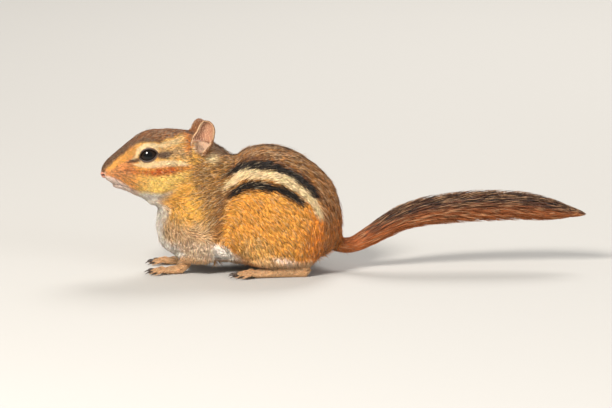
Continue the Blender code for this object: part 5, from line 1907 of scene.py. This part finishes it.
outward = unit(line[:, 2] - along_tail(tail_middle, start + long * 0.45))
way = unit(np.gradient(line, axis=1))
flat = unit(np.cross(outward[:, None], way))
lift = np.cross(way, flat)
thick = (LOCK_WIDTH * lock_draw.uniform(0.75, 1.25, LOCK_COUNT) / 2)[:, None, None]
ring_width = np.array([0.85, 1.0, 0.6])[None, :, None] * thick
ring_line, ring_flat, ring_lift = line[:, 1:4], flat[:, 1:4], lift[:, 1:4]
corners = [-ring_flat * ring_width, ring_flat * ring_width, ring_lift * ring_width * 0.8]
rings = np.stack([ring_line + corner for corner in corners], axis=2).reshape(LOCK_COUNT, 9, 3)
lock_points = np.concatenate([line[:, :1], rings, line[:, 4:]], axis=1)


def lock_faces():
    """Triangles of one lock: a fan at the root, walls between three rings and a fan at the tip."""
    made = []
    for a, b in ((0, 1), (1, 2), (2, 0)):
        made.append((0, 1 + b, 1 + a))
        for ring in (1, 4):
            made.append((ring + a, ring + b, ring + 3 + b))
            made.append((ring + a, ring + 3 + b, ring + 3 + a))
        made.append((7 + a, 7 + b, 10))
    return np.array(made)


LOCK_TRIANGLES = turned_out(lock_points[0], lock_faces())
print("triangles of a lock:", len(LOCK_TRIANGLES))

# %% [markdown]
# ## Colours of the brush
# A tail hair is rusty at the root, then black, and many end frosted. So the brush looks banded in
# depth rather than along its length. Its lower side and its root stay rusty all through, and the
# frosted tips are most frequent near the end.

# %% Tail brush
RUST_ROOT = linear((176, 92, 44))
BLACK_BAND = linear((44, 32, 26))
FROST = linear((196, 150, 108))
UNDER_RUST = linear((196, 110, 54))
SPOT_ACROSS = (0, -0.3, 0.3, 0, -0.5, 0.5, 0, -0.3, 0.3, 0, 0)
SPOT_ALONG = (-0.5, -0.25, -0.25, -0.2, 0, 0, 0.05, 0.25, 0.25, 0.3, 0.5)
LOCK_SPOTS = np.column_stack([SPOT_ACROSS, SPOT_ALONG]) * PATCH

under = soft_step(0.75, -0.4, np.sin(turn)) * 0.75 + soft_step(24.0, 6.0, start) * 0.7
under = np.clip(under + lock_draw.uniform(-0.15, 0.25, LOCK_COUNT), 0.0, 1.0)[:, None]
shade = lock_draw.uniform(0.75, 1.25, LOCK_COUNT)[:, None]
dark = toward(BLACK_BAND, UNDER_RUST * 0.75, under)
rust = toward(RUST_ROOT, UNDER_RUST, under)
frost_share = 0.36 - 0.2 * under[:, 0] + 0.35 * soft_step(tail_at[-1] - 16.0, tail_at[-1], start)
frosted = (lock_draw.random(LOCK_COUNT) < frost_share)[:, None]
tip = np.where(frosted, FROST, dark) * shade
# Painted shade: each lock's root is drawn at 0.6 of its rust, deep in the brush.
bands = np.stack([rust * 0.6, rust * shade, dark * shade, (dark * 0.4 + tip * 0.6), tip], axis=1)
tint = bands[:, [0, 1, 1, 1, 2, 2, 2, 3, 3, 3, 4]]
spots = 0.01 + 0.98 * np.column_stack([start / (tail_at[-1] + 0.1), turn / (2 * math.pi)])
lock_form = (lock_points, LOCK_TRIANGLES, LOCK_SPOTS)
tufts_into_piece("tail_brush", *lock_form, tint, spots, fur, "tail_coat", "tail")

# %% [markdown]
# ## Hair on the ears
# The back of an ear wears fur as short as velvet, which grows up towards the rim. A few pale
# hairs cross the inside of the front edge, and longer ones stand at its root. They are the coat's
# tufts again, only finer, and scattered over the shells instead of the skin.

# %% Ear hair
EAR_ROOTS = 5200
EAR_HAIR = 1.1
EAR_HAIR_WIDTH = 0.15
EAR_BEND = 0.02
EAR_OUTSIDE_HAIR = np.array([*linear((166, 106, 62)), 0.26, 0.14])
EAR_INSIDE_HAIR = np.array([*linear((232, 196, 158)), 0.0, 0.2])

ear_draw = np.random.default_rng(44)
inner, height, turn = ear_flat["inner"], ear_flat["height"], ear_flat["turn"]
at_rim = 0.3 * soft_step(0.34, 0.2, height) + 0.5 * soft_step(0.75, 0.95, np.abs(turn))
wanted = np.where(inner > 0.5, 0.14 + at_rim, 1.0) * (height < 0.985)
for word, side in SIDES.items():
    points = ear_place(ear_left, side)
    faces = turned_out(points - points.mean(axis=0), ear_faces)
    normals = normals_of(points, faces)
    a, b, c = (points[faces[:, corner]] for corner in range(3))
    areas = np.linalg.norm(np.cross(b - a, c - a), axis=1) / 2
    scale = EAR_ROOTS / (areas * wanted[faces].mean(axis=1)).sum()
    triangle, weights = scattered(points, faces, wanted * scale, ear_draw)
    count = len(triangle)
    at, normal = (read_off(values, faces, triangle, weights) for values in (points, normals))
    normal = unit(normal)
    is_inner, high = (read_off(values, faces, triangle, weights) for values in (inner, height))
    low, high_end = (ear_place(end[None], side)[0] for end in (EAR_BASE, EAR_TIP))
    upward = high_end - low
    wander = ear_draw.normal(0.0, 0.16, (count, 3)) * np.linalg.norm(upward)
    lie = upward + wander
    lie = unit(lie - normal * (lie * normal).sum(axis=1)[:, None])
    longer = 1.0 + 1.1 * is_inner * soft_step(0.3, 0.1, high)
    hair = {
        "at": at,
        "normal": normal,
        "lie": lie,
        "bend": np.full(count, EAR_BEND),
        "length": EAR_HAIR * ear_draw.uniform(0.7, 1.2, count) * longer,
        "width": np.full(count, EAR_HAIR_WIDTH) * (1.0 - 0.35 * is_inner),
        "lift": ear_draw.uniform(0.2, 0.5, count),
    }
    paint = toward(EAR_OUTSIDE_HAIR, EAR_INSIDE_HAIR, is_inner[:, None])
    # 0.8 is painted shade at the hairs' roots.
    tint = tuft_colours(paint, ear_draw, 0.8, (0, 1, 1, 1, 2))
    spots = unwrapped(at, at.mean(axis=0) * (1.0, 0.2, 1.0))
    made = tuft_points(hair)
    tufts_into_piece("coat_ear_" + word, made, TUFT_FACES, TUFT_SPOTS, tint, spots, fur, "coat")

# %% [markdown]
# ## Whiskers
# Whiskers are single stiff hairs in three rows on the muzzle, and two stand over each eye. Each is
# a thin tapered tube that curves back and down. It starts at the point of the skin nearest to its
# place in the side view, so it can't hang in the air.

# %% Whiskers
# Each row: where a whisker leaves the skin, how long it is and how far it rises.
WHISKERS = (
    (-41.8, -8.6, 9.0, -0.05),
    (-40.4, -7.8, 12.0, 0.05),
    (-38.8, -7.2, 15.0, 0.12),
    (-37.2, -6.8, 17.0, 0.18),
    (-41.2, -9.6, 10.0, -0.3),
    (-39.6, -9.0, 14.0, -0.22),
    (-38.0, -8.6, 18.0, -0.14),
    (-36.4, -8.2, 20.0, -0.06),
    (-40.4, -10.6, 9.0, -0.6),
    (-38.8, -10.4, 13.0, -0.5),
    (-37.2, -10.2, 16.0, -0.42),
    (-35.8, -10.0, 18.0, -0.34),
    (-29.4, 5.0, 9.0, 0.9),
    (-27.6, 5.2, 8.0, 1.1),
)
WHISKER_RADIUS = 0.065
WHISKER_WAY = (0.55, 0.62)
BROW_HAIR_WAY = (0.5, 0.5)
WHISKER_ROWS = 14
WHISKER_AROUND = 5


def whisker(root, way, length):
    """A closed tube that starts a little inside the skin and bends back and down to a fine tip."""
    share = np.linspace(-0.03, 1.0, WHISKER_ROWS)[:, None]
    path = root + way * share * length + np.array([0.16, 0.0, -0.14]) * length * share**2
    radii = WHISKER_RADIUS * (1.06 - np.abs(share[:, 0])) ** 0.8
    return tube(path, radii, radii, WHISKER_ROWS, WHISKER_AROUND, 0.5)


skin_in_head = to_head(skin_points)
made = []
for side in SIDES.values():
    own = np.where((skin_in_head[:, 1] * side > 1.0) & (head_share(skin_points) > 0.9))[0]
    for x, z, length, rise in WHISKERS:
        nearest = own[np.hypot(skin_in_head[own, 0] - x, skin_in_head[own, 2] - z).argmin()]
        back, out = WHISKER_WAY if z < 0 else BROW_HAIR_WAY
        way = unit(np.array([back, side * out, rise]))
        made.append(whisker(skin_points[nearest], way @ HEAD_TURN.T, length))
whisker_points, whisker_faces = stacked(made)
whisker_material, _ = principled("chipmunk whisker", 0.4, Base_Color=(*linear((52, 40, 34)), 1.0))
piece("whiskers", mesh_from("whiskers", whisker_points, whisker_faces), whisker_material, "coat")

# %% [markdown]
# ## Floor
# One large, plain square catches the animal's shadow, so that its feet are seen to stand on it. It
# belongs to the studio, so it is not attached to the animal as the pieces are.

# %% Floor
FLOOR_SIZE = 12000.0
FLOOR_COLOUR = (0.46, 0.45, 0.43, 1.0)

floor_half = FLOOR_SIZE / 2
floor_points = np.array([(-1, -1, 0), (1, -1, 0), (1, 1, 0), (-1, 1, 0)]) * (floor_half, floor_half, 0.0)
floor_mesh = mesh_from("floor", floor_points, np.array([(0, 1, 2), (0, 2, 3)]))
floor_material, _ = principled("pale floor", 0.85, Base_Color=FLOOR_COLOUR)
floor = bpy.data.objects.new("floor", floor_mesh)
floor.data.materials.append(floor_material)
bpy.context.scene.collection.objects.link(floor)
print("floor, m:", FLOOR_SIZE * MM)
